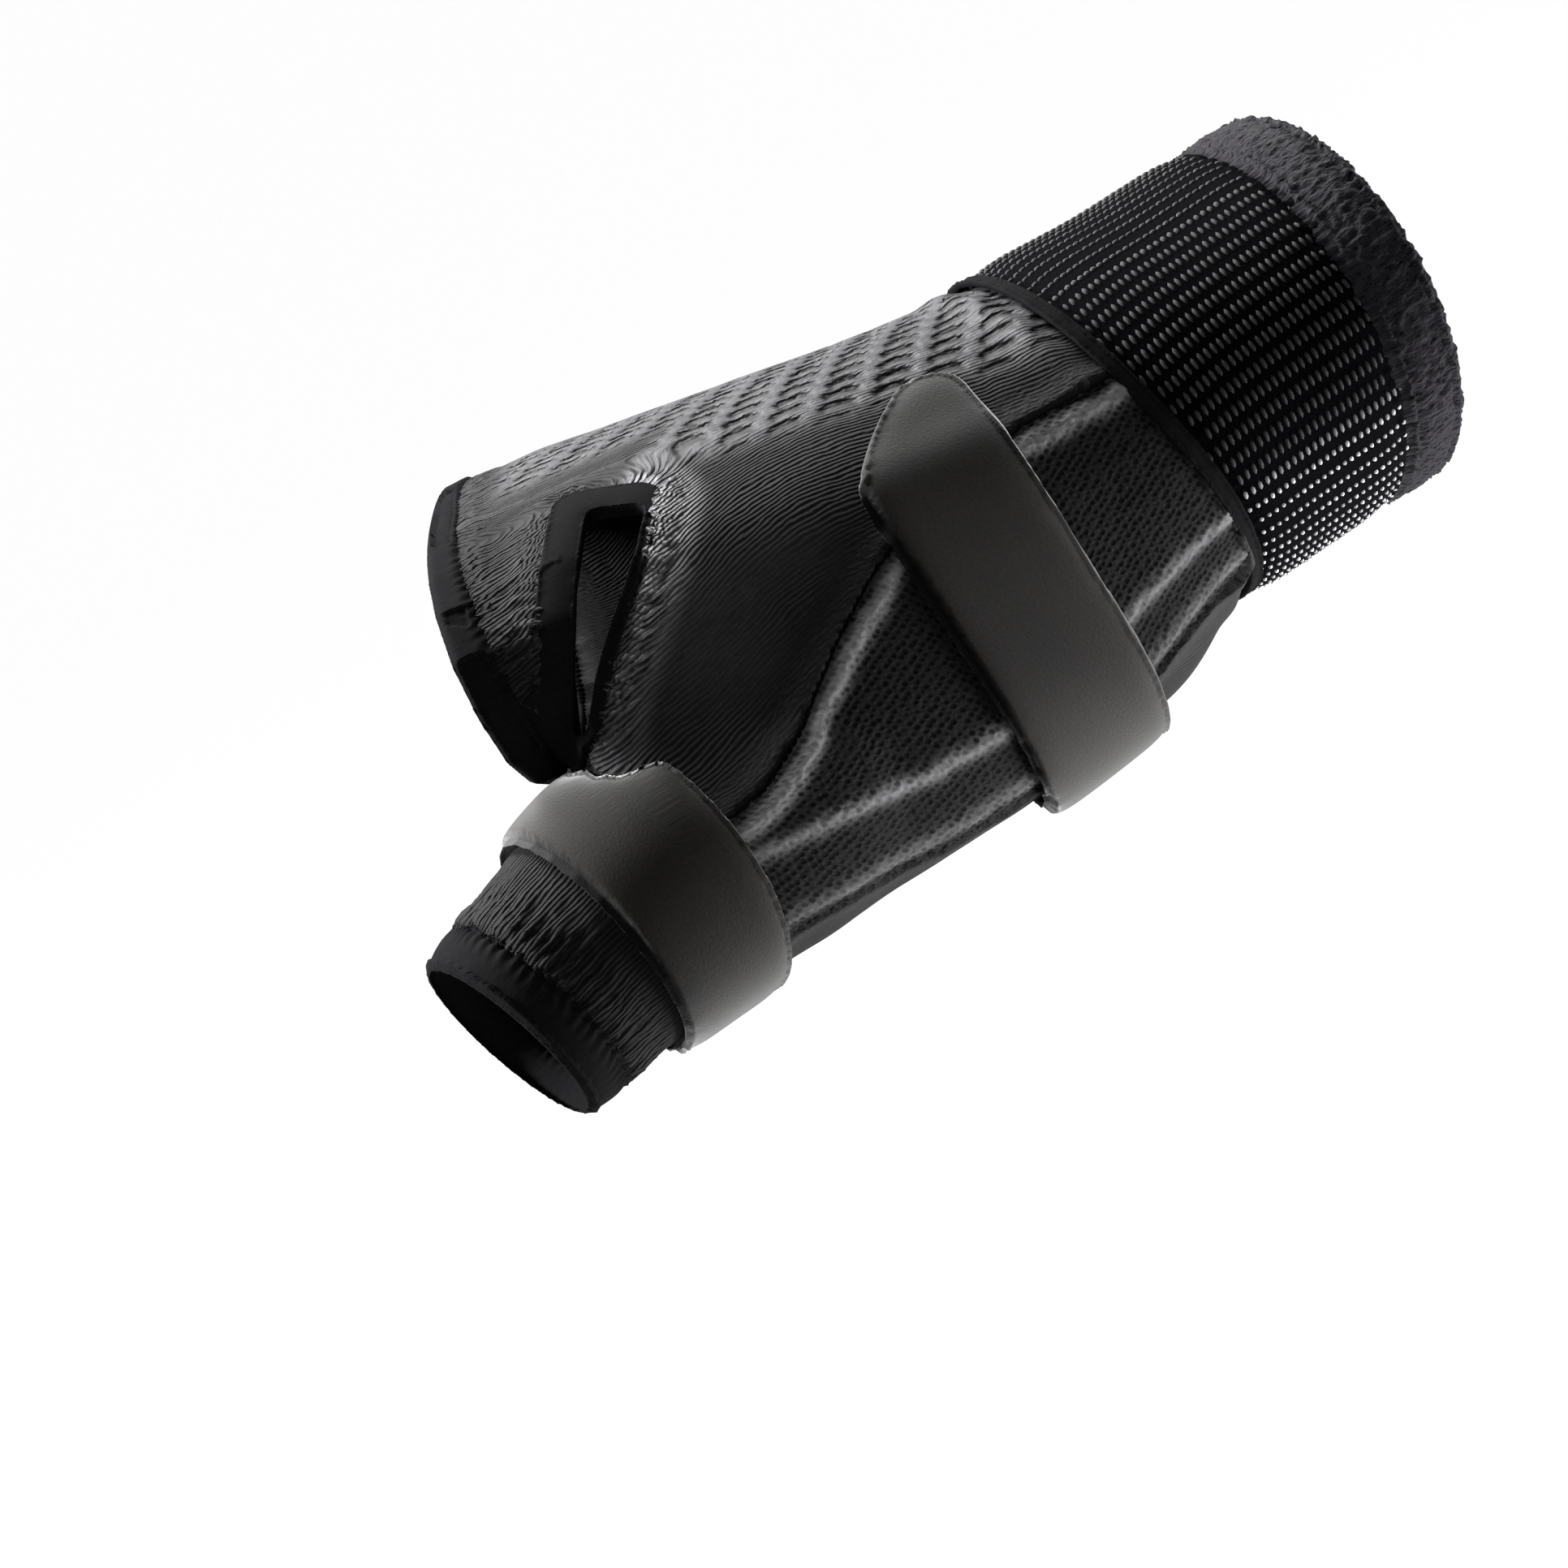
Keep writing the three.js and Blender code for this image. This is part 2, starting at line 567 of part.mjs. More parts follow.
place("knit_sleeve", "knit", knitSleeve());
place("forearm_hem", "terry", hemRing(FOREARM_LENGTH, HEM_WIDTH, HEM_PROUD, sleevePoint, AROUND_BAND));
place("hand_hem", "tape", handHem(0));
place("thumb_hem", "tape", hemRing(-THUMB_LENGTH, THUMB_HEM_WIDTH, BINDING_PROUD, thumbPoint, AROUND_THUMB));
place("slit_binding", "tape", slitBinding());
place("elastic_band", "elastic", elasticBand());
place("band_tape", "tape", bandTape());
place("stay_pocket", "knit", stayPocket());
place("wrist_strap", "strap", wristStrap());
place("thumb_strap", "strap", thumbStrap());

export default part;
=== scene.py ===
# A thumb spica splint for the right hand, kept in the shape it has on the arm: a black knitted sleeve with a
# honeycomb back, a drop-shaped gap in the web, a woven elastic band, a knitted stay pocket and two straps.
# +X runs up the forearm, -Y is the thumb's side, +Z the back of the hand. Lengths below are in millimetres
# unless a name says otherwise, and are turned to metres where a mesh is written.

import math

import bmesh
import bpy
import numpy as np
from mathutils import Matrix, Vector, noise
from mathutils.bvhtree import BVHTree


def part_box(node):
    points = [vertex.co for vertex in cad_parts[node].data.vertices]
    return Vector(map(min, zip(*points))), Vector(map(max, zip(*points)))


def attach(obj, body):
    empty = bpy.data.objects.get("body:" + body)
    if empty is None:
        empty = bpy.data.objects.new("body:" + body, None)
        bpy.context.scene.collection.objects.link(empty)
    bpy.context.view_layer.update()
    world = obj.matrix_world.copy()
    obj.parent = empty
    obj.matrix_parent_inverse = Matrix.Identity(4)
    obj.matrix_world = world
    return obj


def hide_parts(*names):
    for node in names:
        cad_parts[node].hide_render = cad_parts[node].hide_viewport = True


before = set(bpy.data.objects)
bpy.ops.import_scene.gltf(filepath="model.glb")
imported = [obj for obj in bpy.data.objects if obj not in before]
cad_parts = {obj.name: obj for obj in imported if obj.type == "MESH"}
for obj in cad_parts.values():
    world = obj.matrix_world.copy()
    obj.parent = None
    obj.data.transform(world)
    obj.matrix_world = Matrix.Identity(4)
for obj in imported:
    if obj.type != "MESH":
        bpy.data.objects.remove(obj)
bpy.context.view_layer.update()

MM = 0.001

# The middle lines of the arm with the hand, and of the thumb: x, y, z, and the thumb's radius
LIMB_LINE = [
    (36, 0, 0.6), (0, 0, 0), (-17.6, 0.4, 2.8), (-33.6, 0.8, 8),
    (-49.6, 1.4, 13), (-65.6, 1.8, 17.6), (-80, 2, 20), (-96, 2, 20),
]
THUMB_LINE = [
    (0, -7.8, -5.9, 15.6), (-7.7, -9.8, -11, 16.4), (-24.2, -16.4, -12.3, 16.2),
    (-47.3, -25.7, -11, 16.1), (-71.5, -33.5, -8.6, 16.6), (-85.8, -36.3, -8.2, 16.4),
    (-99, -37.8, -10.4, 14.8), (-110, -39, -13.2, 13.1), (-121, -40.2, -16, 13.1),
]
HAND_SLANT = 0.36  # lead of the hand opening's thumb side, for each millimetre across
HAND_LENGTH = 80  # middle of the wrist to the hand opening
THUMB_LENGTH = 110  # middle of the wrist to the thumb opening
FOREARM_END = 36
WALL = 2  # of the sleeve
WEB_EDGE = -74  # where hand band and thumb stall part
THUMB_KNIT_RADIUS = 15
THUMB_TAPE_RADIUS = 16

# Edge of the even faces from which each piece starts
FACE_SIZES = {
    "knit_sleeve": 0.6,
    "forearm_hem": 0.4,
    "hand_hem": 0.32,
    "thumb_hem": 0.3,
    "slit_binding": 0.28,
    "elastic_band": 0.5,
    "band_tape": 0.22,
    "stay_pocket": 0.32,
    "wrist_strap": 0.42,
    "thumb_strap": 0.4,
}
HEMS = ["forearm_hem", "hand_hem", "thumb_hem"]


# Small tools for numbers and meshes

def smoothstep(low, high, value):
    share = np.clip((value - low) / (high - low), 0, 1)
    return share * share * (3 - 2 * share)


def window(low, high, value, fade):
    return smoothstep(low - fade, low, value) * (1 - smoothstep(high, high + fade, value))


def bell(value, width):
    return np.exp(-(value / width) ** 2)


def on_line(line, x):
    """The line's other columns where its first one is x."""
    rows = np.array(sorted(line))
    return [np.interp(x, rows[:, 0], rows[:, column]) for column in range(1, rows.shape[1])]


def scatter(*numbers):
    """A fixed number from 0 to 1 for each cell, which looks random."""
    mixed = sum(number * factor for number, factor in zip(numbers, (12.9898, 78.233, 37.719)))
    return np.abs(np.sin(mixed) * 43758.5453) % 1


def speckle(points, size, seed=0):
    """Smooth noise from -1 to 1 with grains of a size in mm."""
    offset = Vector((seed * 17.3, seed * 5.1, seed * 9.7))
    return np.array([noise.noise(Vector(point) / size + offset) for point in points])


def positions(mesh):
    flat = np.empty(len(mesh.vertices) * 3)
    mesh.vertices.foreach_get("co", flat)
    return flat.reshape(-1, 3) / MM


def move_to(mesh, points):
    mesh.vertices.foreach_set("co", (points * MM).ravel())
    mesh.update()


def normals(mesh):
    flat = np.empty(len(mesh.vertices) * 3)
    mesh.vertex_normals.foreach_get("vector", flat)
    return flat.reshape(-1, 3)


def edge_ends(mesh):
    flat = np.empty(len(mesh.edges) * 2, dtype=np.int64)
    mesh.edges.foreach_get("vertices", flat)
    return flat.reshape(-1, 2)


def neighbour_mean(values, ends, weights, count):
    total = np.zeros((count, values.shape[1]))
    for near, far in ((0, 1), (1, 0)):
        for axis in range(values.shape[1]):
            total[:, axis] += np.bincount(
                ends[:, near], weights=weights * values[ends[:, far], axis], minlength=count
            )
    size = np.bincount(ends[:, 0], weights=weights, minlength=count)
    size += np.bincount(ends[:, 1], weights=weights, minlength=count)
    return total / np.maximum(size, 1e-9)[:, None], size > 0


def relax(mesh, rounds, hold=1.0):
    """Every point moves half way to its neighbours' middle."""
    ends = edge_ends(mesh)
    points = positions(mesh)
    weights = np.ones(len(ends))
    for _ in range(rounds):
        middle, _joined = neighbour_mean(points, ends, weights, len(points))
        points += 0.5 * np.reshape(hold, (-1, 1)) * (middle - points)
    move_to(mesh, points)


def fair(mesh, rounds, outward, steep=0.8, hold=1.0):
    """Smooths the outer face and the inner face of the cloth, each by itself, and leaves its edges."""
    ends = edge_ends(mesh)
    points = positions(mesh)
    facing = normals(mesh)
    lean = np.sum(facing * outward, axis=1)
    face = np.where(lean > steep, 1, np.where(lean < -steep, -1, 0))
    weights = ((face[ends[:, 0]] == face[ends[:, 1]]) & (face[ends[:, 0]] != 0)).astype(float)
    for _ in range(rounds):
        middle, joined = neighbour_mean(points, ends, weights, len(points))
        step = np.sum((middle - points) * facing, axis=1) * joined * hold
        points += 0.5 * step[:, None] * facing
    move_to(mesh, points)


def cad_mesh(node):
    """A copy of a CAD node's mesh as one closed skin."""
    made = bmesh.new()
    made.from_mesh(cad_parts[node].data)
    bmesh.ops.remove_doubles(made, verts=made.verts, dist=2e-6)
    mesh = bpy.data.meshes.new(node + "_skin")
    made.to_mesh(mesh)
    made.free()
    return mesh


def apply_modifiers(piece):
    bpy.context.view_layer.update()
    shaped = piece.evaluated_get(bpy.context.evaluated_depsgraph_get())
    piece_mesh = bpy.data.meshes.new_from_object(shaped)
    piece.modifiers.clear()
    piece.data = piece_mesh


def woven_piece(name, node):
    """A new piece from a CAD node's skin, in small even faces."""
    piece = bpy.data.objects.new(name, cad_mesh(node))
    bpy.context.scene.collection.objects.link(piece)
    remesh = piece.modifiers.new("remesh", "REMESH")
    remesh.mode = "VOXEL"
    remesh.voxel_size = FACE_SIZES[node] * MM
    remesh.use_smooth_shade = True
    apply_modifiers(piece)
    piece.data.name = name
    return piece


def smooth_piece(name, node, relax_rounds, fair_rounds, outward_of, steep=0.8):
    """A woven piece without the steps of its small faces."""
    piece = woven_piece(name, node)
    relax(piece.data, relax_rounds)
    fair(piece.data, fair_rounds, outward_of(positions(piece.data)), steep)
    return piece


def thin_out(piece, chosen, ratio):
    """Fewer faces where nothing is carved, such as on the inside. Far fewer would cut its bends short."""
    group = piece.vertex_groups.new(name="thinned")
    group.add(np.flatnonzero(chosen).tolist(), 1.0, "REPLACE")
    decimate = piece.modifiers.new("thin", "DECIMATE")
    decimate.ratio = ratio
    decimate.vertex_group = "thinned"
    decimate.vertex_group_factor = 10
    apply_modifiers(piece)
    piece.vertex_groups.clear()


def write_uv(mesh, around, along, period):
    """The cloth's own map, in mm: around the arm and along it. Once around is a period."""
    corners = np.empty(len(mesh.loops), dtype=np.int64)
    mesh.loops.foreach_get("vertex_index", corners)
    sizes = np.empty(len(mesh.polygons), dtype=np.int64)
    mesh.polygons.foreach_get("loop_total", sizes)
    starts = np.empty(len(mesh.polygons), dtype=np.int64)
    mesh.polygons.foreach_get("loop_start", starts)
    u = around[corners]
    first = np.repeat(u[starts], sizes)
    u = u - np.round((u - first) / period[corners]) * period[corners]
    layer = mesh.uv_layers.new(name="cloth")
    layer.data.foreach_set("uv", np.stack([u, along[corners]], axis=1).ravel())


def write_mask(mesh, name, values):
    mesh.attributes.new(name, "FLOAT", "POINT").data.foreach_set("value", values.astype(np.float32))


def tree_of(mesh):
    """A mesh's faces, ready to be searched."""
    made = bmesh.new()
    made.from_mesh(mesh)
    tree = BVHTree.FromBMesh(made)
    made.free()
    return tree


def near_box(node, points, reach):
    """The numbers of the points that lie within a reach of a CAD node's box."""
    low, high = (np.array(corner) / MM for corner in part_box(node))
    return np.flatnonzero(np.all((points > low - reach) & (points < high + reach), axis=1))


def distance_to(nodes, points, reach):
    """Distance from each point to the nearest of some CAD nodes, in mm, up to a reach."""
    nearest = np.full(len(points), float(reach))
    for node in nodes:
        tree = tree_of(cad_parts[node].data)
        for i in near_box(node, points, reach):
            found = tree.find_nearest(points[i] * MM, nearest[i] * MM)
            if found[0] is not None:
                nearest[i] = min(nearest[i], found[3] / MM)
    return nearest


def meet(mesh, nodes, reach=1.4, tuck=0.3):
    """Sewn edges close up to the pieces they are sewn to, and tuck a little way in."""
    points = positions(mesh)
    for node in nodes:
        tree = tree_of(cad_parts[node].data)
        for i in near_box(node, points, reach):
            found = tree.find_nearest(points[i] * MM, reach * MM)
            if found[0] is not None and found[3] > 0.05 * MM:
                apart = found[3] / MM
                share = float(smoothstep(reach, 0.6 * reach, apart)) * (apart + tuck) / apart
                points[i] += (np.array(found[0]) / MM - points[i]) * share
    move_to(mesh, points)


def lies_under(node, points, facing, chosen):
    """Which of the chosen points have a piece close above them."""
    tree = tree_of(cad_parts[node].data)
    covered = np.zeros(len(points), bool)
    for i in np.flatnonzero(chosen):
        way = Vector(facing[i])
        covered[i] = tree.ray_cast(Vector(points[i]) * MM - way * MM, way, 4 * MM)[0] is not None
    return covered


# Places on the cloth. station is the x where the arm's or thumb's middle line is.

def slant_at(station):
    """Lead of the thumb's side over the middle line, for each millimetre across."""
    return HAND_SLANT * np.clip(-station / HAND_LENGTH, 0, 1) ** 1.1


def limb_frame(points):
    """(station, angle): angle 0 is the thumb's side, 90 degrees the back of the hand."""
    station = points[:, 0].copy()
    for _ in range(4):
        y, z = on_line(LIMB_LINE, station)
        station = points[:, 0] - slant_at(station) * (points[:, 1] - y)
    y, z = on_line(LIMB_LINE, station)
    return station, np.arctan2(points[:, 2] - z, -(points[:, 1] - y))


def limb_outward(points):
    """Directions away from the arm's middle line."""
    station, _angle = limb_frame(points)
    y, z = on_line(LIMB_LINE, station)
    off = np.stack([np.zeros(len(points)), points[:, 1] - y, points[:, 2] - z], axis=1)
    return off / np.linalg.norm(off, axis=1, keepdims=True)


def thumb_direction(station):
    ahead, behind = on_line(THUMB_LINE, station - 1.5), on_line(THUMB_LINE, station + 1.5)
    line = np.stack([np.full_like(station, -3.0), ahead[0] - behind[0], ahead[1] - behind[1]], axis=1)
    return line / np.linalg.norm(line, axis=1, keepdims=True)


def thumb_frame(points):
    """(station, angle, distance from the thumb's line)."""
    station = points[:, 0].copy()
    for _ in range(6):
        y, z, _radius = on_line(THUMB_LINE, station)
        line = thumb_direction(station)
        off = points - np.stack([station, y, z], axis=1)
        station = station + np.sum(off * line, axis=1) * line[:, 0]
    y, z, _radius = on_line(THUMB_LINE, station)
    off = points - np.stack([station, y, z], axis=1)
    return station, np.arctan2(off[:, 2], -off[:, 1]), np.linalg.norm(off, axis=1)


def thumb_outward(points):
    """Directions away from the thumb's middle line."""
    station, _angle, _reach = thumb_frame(points)
    y, z, _radius = on_line(THUMB_LINE, station)
    off = points - np.stack([station, y, z], axis=1)
    return off / np.linalg.norm(off, axis=1, keepdims=True)


STATION_STEP = 2.0
STATIONS = np.arange(22, -75, -STATION_STEP)
REACH_GROWTH = 1.06  # at most, from one station to the next, so that the thumb isn't followed
ARC_ROUNDS = 12
ANGLES = np.linspace(-math.pi, math.pi, 181)


def arc_table(tree):
    """Distance round the sleeve's outside from the middle of the back, for each station and angle."""
    reach = np.full((len(STATIONS), len(ANGLES)), np.nan)
    for i, station in enumerate(STATIONS):
        y, z = on_line(LIMB_LINE, station)
        slant = slant_at(station)
        centre = Vector((station, y, z)) * MM
        for j, angle in enumerate(ANGLES):
            way = Vector((-slant * math.cos(angle), -math.cos(angle), math.sin(angle)))
            hit = tree.ray_cast(centre, way.normalized())
            if hit[0] is not None:
                off = (hit[0] - centre) / MM
                reach[i, j] = math.hypot(off.y, off.z) + WALL
        known = np.isfinite(reach[i])
        reach[i] = np.interp(ANGLES, ANGLES[known], reach[i, known])
        if i:
            reach[i] = np.minimum(reach[i], reach[i - 1] * REACH_GROWTH)
    y = -reach * np.cos(ANGLES)
    z = reach * np.sin(ANGLES)
    steps = np.hypot(np.diff(y, axis=1), np.diff(z, axis=1))
    arc = np.concatenate([np.zeros((len(STATIONS), 1)), np.cumsum(steps, axis=1)], axis=1)
    for _ in range(ARC_ROUNDS):
        padded = np.pad(arc, ((1, 1), (0, 0)), "edge")
        arc = 0.25 * padded[:-2] + 0.5 * padded[1:-1] + 0.25 * padded[2:]
    back = np.argmin(np.abs(ANGLES - math.pi / 2))
    return arc[:, back:back + 1] - arc, arc[:, -1]


def table_value(table, station, angle):
    """The table's value between its rows and columns."""
    i = np.clip((STATIONS[0] - station) / STATION_STEP, 0, len(STATIONS) - 1.001)
    j = np.clip((angle + math.pi) / (2 * math.pi) * (len(ANGLES) - 1), 0, len(ANGLES) - 1.001)
    i0, j0 = i.astype(int), j.astype(int)
    fi, fj = i - i0, j - j0
    return (
        (1 - fi) * ((1 - fj) * table[i0, j0] + fj * table[i0, j0 + 1])
        + fi * ((1 - fj) * table[i0 + 1, j0] + fj * table[i0 + 1, j0 + 1])
    )


def wale_place(points):
    """(station, degrees, distance round from the back, girth, place across the knit's ribs)."""
    station, angle = limb_frame(points)
    girth = np.interp(station, STATIONS[::-1], GIRTH[::-1])
    around = table_value(ARC, station, angle)
    degrees = np.degrees(angle)
    # Near the thumb the ribs turn towards it
    towards_thumb = window(-45, 34, degrees, 22) * smoothstep(30, 62, -station)
    lead = 0.4 * towards_thumb * np.clip(-station - 30, 0, None)
    return station, degrees, around, girth, around - lead


RIB_PITCH = 0.62
HONEYCOMB_ALONG = 6.3  # from dent to dent in a row
HONEYCOMB_AROUND = 2.8  # from row to row
ROW_SHIFT = 0.22  # share of a cell by which each row lies further along
DENT_LENGTH = 4.5
DENT_DEPTH = 0.45


def honeycomb(along, around):
    """Shallow dents in the knit, steep on the side of the back's middle and easy on the other."""
    row = np.floor(around / HONEYCOMB_AROUND + 0.5)
    shifted = along / HONEYCOMB_ALONG - ROW_SHIFT * row
    cell = np.floor(shifted)
    lengthwise = (shifted - cell - 0.5) * HONEYCOMB_ALONG / (0.5 * DENT_LENGTH)
    across = around - row * HONEYCOMB_AROUND + 0.9 - 0.7 * np.minimum(lengthwise ** 2, 1.5)
    steep = smoothstep(-0.2, 0.3, across)
    easy = 1 - smoothstep(0.3, 2.2, across)
    return -steep * easy * (1 - smoothstep(0.75, 1.15, np.abs(lengthwise))) * (0.8 + 0.4 * scatter(cell, row))


GATHER_PITCH = 1.7


def gathers(wales, station, points):
    """Short uneven ruffles that run along the sleeve, from -1 to 1."""
    uneven = speckle(points, 3.0, 5)
    wave = np.sin(wales * 2 * math.pi / GATHER_PITCH + 2.6 * uneven + 0.9 * np.sin(station * 1.1))
    return wave * (0.65 + 0.35 * speckle(points, 2.2, 6))


# Heights of the pocket's back edge, inner seam and front edge, at places along the sleeve
POCKET_LINES = [
    (-76.4, -3.6, -7.2, -16.8), (-64.3, -0.6, -9.4, -18.6), (-53.1, 5.2, -12.4, -21),
    (-37.8, 11.2, -14.4, -22.4), (-20.9, 12.8, -12.4, -20), (-4, 11.6, -9, -15.6),
]


def pocket_heights(points):
    """How far points lie above the pocket's back edge, its inner seam and its front edge."""
    return [points[:, 2] - line for line in on_line(POCKET_LINES, points[:, 0])]


def sleeve_sides(points, facing):
    """Which points lie on the thumb stall, and which on the sleeve's outside."""
    station, _angle = limb_frame(points)
    thumb_station, _turn, thumb_reach = thumb_frame(points)
    y, z = on_line(LIMB_LINE, station)
    thumb_y, thumb_z, thumb_radius = on_line(THUMB_LINE, thumb_station)
    handwards = np.clip(-station / HAND_LENGTH, 0, 1)
    past_hand = ((points[:, 1] - y) / (30 + 10 * handwards)) ** 2
    past_hand += ((points[:, 2] - z) / (23 - 7.5 * handwards)) ** 2
    on_thumb = (thumb_station < WEB_EDGE - 12) & (past_hand > 1.3) & (thumb_reach < thumb_radius + 3)
    outward = facing[:, 1] * (points[:, 1] - y) + facing[:, 2] * (points[:, 2] - z)
    thumb_outward = facing[:, 1] * (points[:, 1] - thumb_y) + facing[:, 2] * (points[:, 2] - thumb_z)
    return on_thumb, np.where(on_thumb, thumb_outward, outward) > 0


# The knitted sleeve

INSIDE_KEPT = 0.542  # share of all faces that stay, almost all of them on the outside
GATHER_DEPTH = 0.42
FRILL_DEPTH = 0.34
CRINKLE_DEPTH = 0.22
WAVE_DEPTH = 0.25
TAPE_SWELL = 0.8
HEM_SWELL = 0.55
POCKET_SWELL = 1.1

sleeve = woven_piece("sleeve_knit", "knit_sleeve")
ARC, GIRTH = arc_table(tree_of(sleeve.data))

points = positions(sleeve.data)
_on_thumb, outside = sleeve_sides(points, normals(sleeve.data))
thin_out(sleeve, ~outside, INSIDE_KEPT)

mesh = sleeve.data
points = positions(mesh)
fixed = distance_to(HEMS + ["slit_binding"], points, 2.5)
free_to_move = smoothstep(0.6, 2.2, fixed)
relax(mesh, 5, np.maximum(free_to_move, 0.15))
fair(mesh, 80, limb_outward(positions(mesh)), 0.25, free_to_move)
points = positions(mesh)
from_seams = distance_to(["hand_hem", "slit_binding"], points, 7)
crotch = window(-84, -58, points[:, 0], 5) * window(-52, -18, points[:, 1], 6)
crotch *= smoothstep(2.5, 6, from_seams)
relax(mesh, 30, crotch)
meet(mesh, HEMS + ["slit_binding"], 2.0, 0.4)

points = positions(mesh)
facing = normals(mesh)
on_thumb, outside = sleeve_sides(points, facing)
station, degrees, around, girth, wales = wale_place(points)
thumb_station, thumb_angle, _reach = thumb_frame(points)
covered = distance_to(["wrist_strap", "elastic_band", "thumb_strap"], points, 3)
near_pocket = distance_to(["stay_pocket"], points, 9)
beside_pocket = ~lies_under("stay_pocket", points, facing, near_pocket < 3)
bare = smoothstep(0.8, 2.4, covered) * beside_pocket
near_gap = distance_to(["slit_binding"], points, 9)
near_hand_hem = distance_to(["hand_hem"], points, 9)
near_thumb_hem = distance_to(["thumb_hem"], points, 9)
near_tape = distance_to(["band_tape"], points, 9)

gap_station, gap_angle = limb_frame(positions(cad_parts["slit_binding"].data))
slant, start = np.polyfit(np.degrees(gap_angle), gap_station, 1)
armwards = smoothstep(-1, 3, station - start - slant * degrees)
back = window(46, 166, degrees, 14) * ~on_thumb * np.maximum(armwards, smoothstep(56, 84, degrees))
comb = back * smoothstep(1.5, 5, near_gap) * smoothstep(2, 7, near_hand_hem) * bare
pull = bell(near_gap - 0.5, 2.4) + 0.8 * bell(near_hand_hem - 0.5, 2.6)

relief = DENT_DEPTH * comb * honeycomb(-station, wales)
relief += GATHER_DEPTH * pull * gathers(wales, station, points) * bare * ~on_thumb
frill = gathers(thumb_angle * THUMB_KNIT_RADIUS, thumb_station, points)
relief += FRILL_DEPTH * on_thumb * bell(near_thumb_hem - 1.0, 4.5) * frill
crinkle = speckle(points * (0.6, 1, 1), 1.5, 2)
relief += CRINKLE_DEPTH * crinkle * bare * np.where(on_thumb, 1.0, smoothstep(9, 4, near_hand_hem))
relief += WAVE_DEPTH * speckle(points, 9, 1) * bare
relief += TAPE_SWELL * bell(near_tape - 3.2, 2.2) * smoothstep(0, 0.8, covered) * beside_pocket
near_hem = np.minimum(np.minimum(near_hand_hem, near_gap), near_thumb_hem)
relief *= smoothstep(0.1, 1.0, near_hem + 0.35)
relief += HEM_SWELL * bell(near_hem, 2.2) + POCKET_SWELL * beside_pocket * bell(near_pocket, 2.2)
relief *= outside
move_to(mesh, points + relief[:, None] * facing)

write_uv(
    mesh,
    np.where(on_thumb, thumb_angle * THUMB_KNIT_RADIUS, wales),
    np.where(on_thumb, -thumb_station, -station),
    np.where(on_thumb, 2 * math.pi * THUMB_KNIT_RADIUS, girth),
)
write_mask(mesh, "comb", comb)
write_mask(mesh, "crinkled", np.clip(pull * ~on_thumb + on_thumb, 0, 1))
write_mask(mesh, "meshy", smoothstep(7, 2, near_pocket) * ~on_thumb)
# Where the knit is glossier and gets a painted sheen: lighter rib tops on the back of the hand and arm, and
# beside the gap.
round_gap = smoothstep(6.5, 2.5, near_gap) * window(-30, 60, degrees, 15)
satin_and_painted_sheen = np.maximum(window(54, 166, degrees, 14), round_gap)
write_mask(mesh, "satin_and_painted_sheen", satin_and_painted_sheen * (0.12 + 0.88 * armwards) * outside * ~on_thumb)


# Hems, tapes, straps and the pocket

def limb_uv(mesh):
    points = positions(mesh)
    station, degrees, around, girth, wales = wale_place(points)
    write_uv(mesh, around, -station, girth)
    return points, station, degrees, wales


def thumb_uv(mesh):
    points = positions(mesh)
    station, angle, _reach = thumb_frame(points)
    girth = np.full(len(points), 2 * math.pi * THUMB_TAPE_RADIUS)
    write_uv(mesh, angle * THUMB_TAPE_RADIUS, -station, girth)
    return points, station, angle


def thin_rim(mesh, outward, from_rim, taken):
    """Thins a hem towards its opening: its inner face moves out by up to a length in mm."""
    inner = smoothstep(0.2, -0.6, np.sum(normals(mesh) * outward, axis=1))
    move_to(mesh, positions(mesh) + (taken * inner * smoothstep(5, 0, from_rim))[:, None] * outward)


def cut_edge(mesh, outward):
    """1 on the cut edges and the inner side of a strap."""
    return smoothstep(0.86, 0.62, np.sum(normals(mesh) * outward, axis=1))


forearm_hem = smooth_piece("forearm_hem_terry", "forearm_hem", 3, 150, limb_outward)
place, _station, _degrees, _wales = limb_uv(forearm_hem.data)
tufts = speckle(place * (0.7, 1.2, 1.2), 0.75, 3) + 0.5 * speckle(place, 1.5, 4)
move_to(forearm_hem.data, place + 0.4 * tufts[:, None] * normals(forearm_hem.data))
thin_rim(forearm_hem.data, limb_outward(place), FOREARM_END - place[:, 0], 1.2)
meet(forearm_hem.data, ["elastic_band"], 1.0)

hand_hem = smooth_piece("hand_hem_tape", "hand_hem", 2, 240, limb_outward)
place, station, _degrees, wales = limb_uv(hand_hem.data)
sewn = 1 - smoothstep(0.4, 2.8, distance_to(["knit_sleeve"], place, 3))
outer = normals(hand_hem.data)
move_to(hand_hem.data, place + (0.2 * sewn * gathers(wales, station, place))[:, None] * outer)
thin_rim(hand_hem.data, limb_outward(place), limb_frame(place)[0] + HAND_LENGTH, 1.0)

thumb_hem = smooth_piece("thumb_hem_tape", "thumb_hem", 2, 200, thumb_outward)
place, station, angle = thumb_uv(thumb_hem.data)
sewn = 1 - smoothstep(0.4, 4.2, distance_to(["knit_sleeve"], place, 5))
ruffles = gathers(angle * THUMB_KNIT_RADIUS, station, place)
outer = normals(thumb_hem.data)
move_to(thumb_hem.data, place + (0.3 * sewn * ruffles)[:, None] * outer)
thin_rim(thumb_hem.data, thumb_outward(place), station + THUMB_LENGTH, 1.3)

slit_binding = smooth_piece("gap_binding_tape", "slit_binding", 3, 150, limb_outward, 0.7)
meet(slit_binding.data, ["hand_hem"], 2.0, 0.5)
limb_uv(slit_binding.data)

elastic = smooth_piece("elastic_band_weave", "elastic_band", 2, 100, limb_outward)
meet(elastic.data, ["forearm_hem", "band_tape"])
limb_uv(elastic.data)

band_tape = smooth_piece("band_edge_tape", "band_tape", 3, 150, limb_outward, 0.85)
limb_uv(band_tape.data)

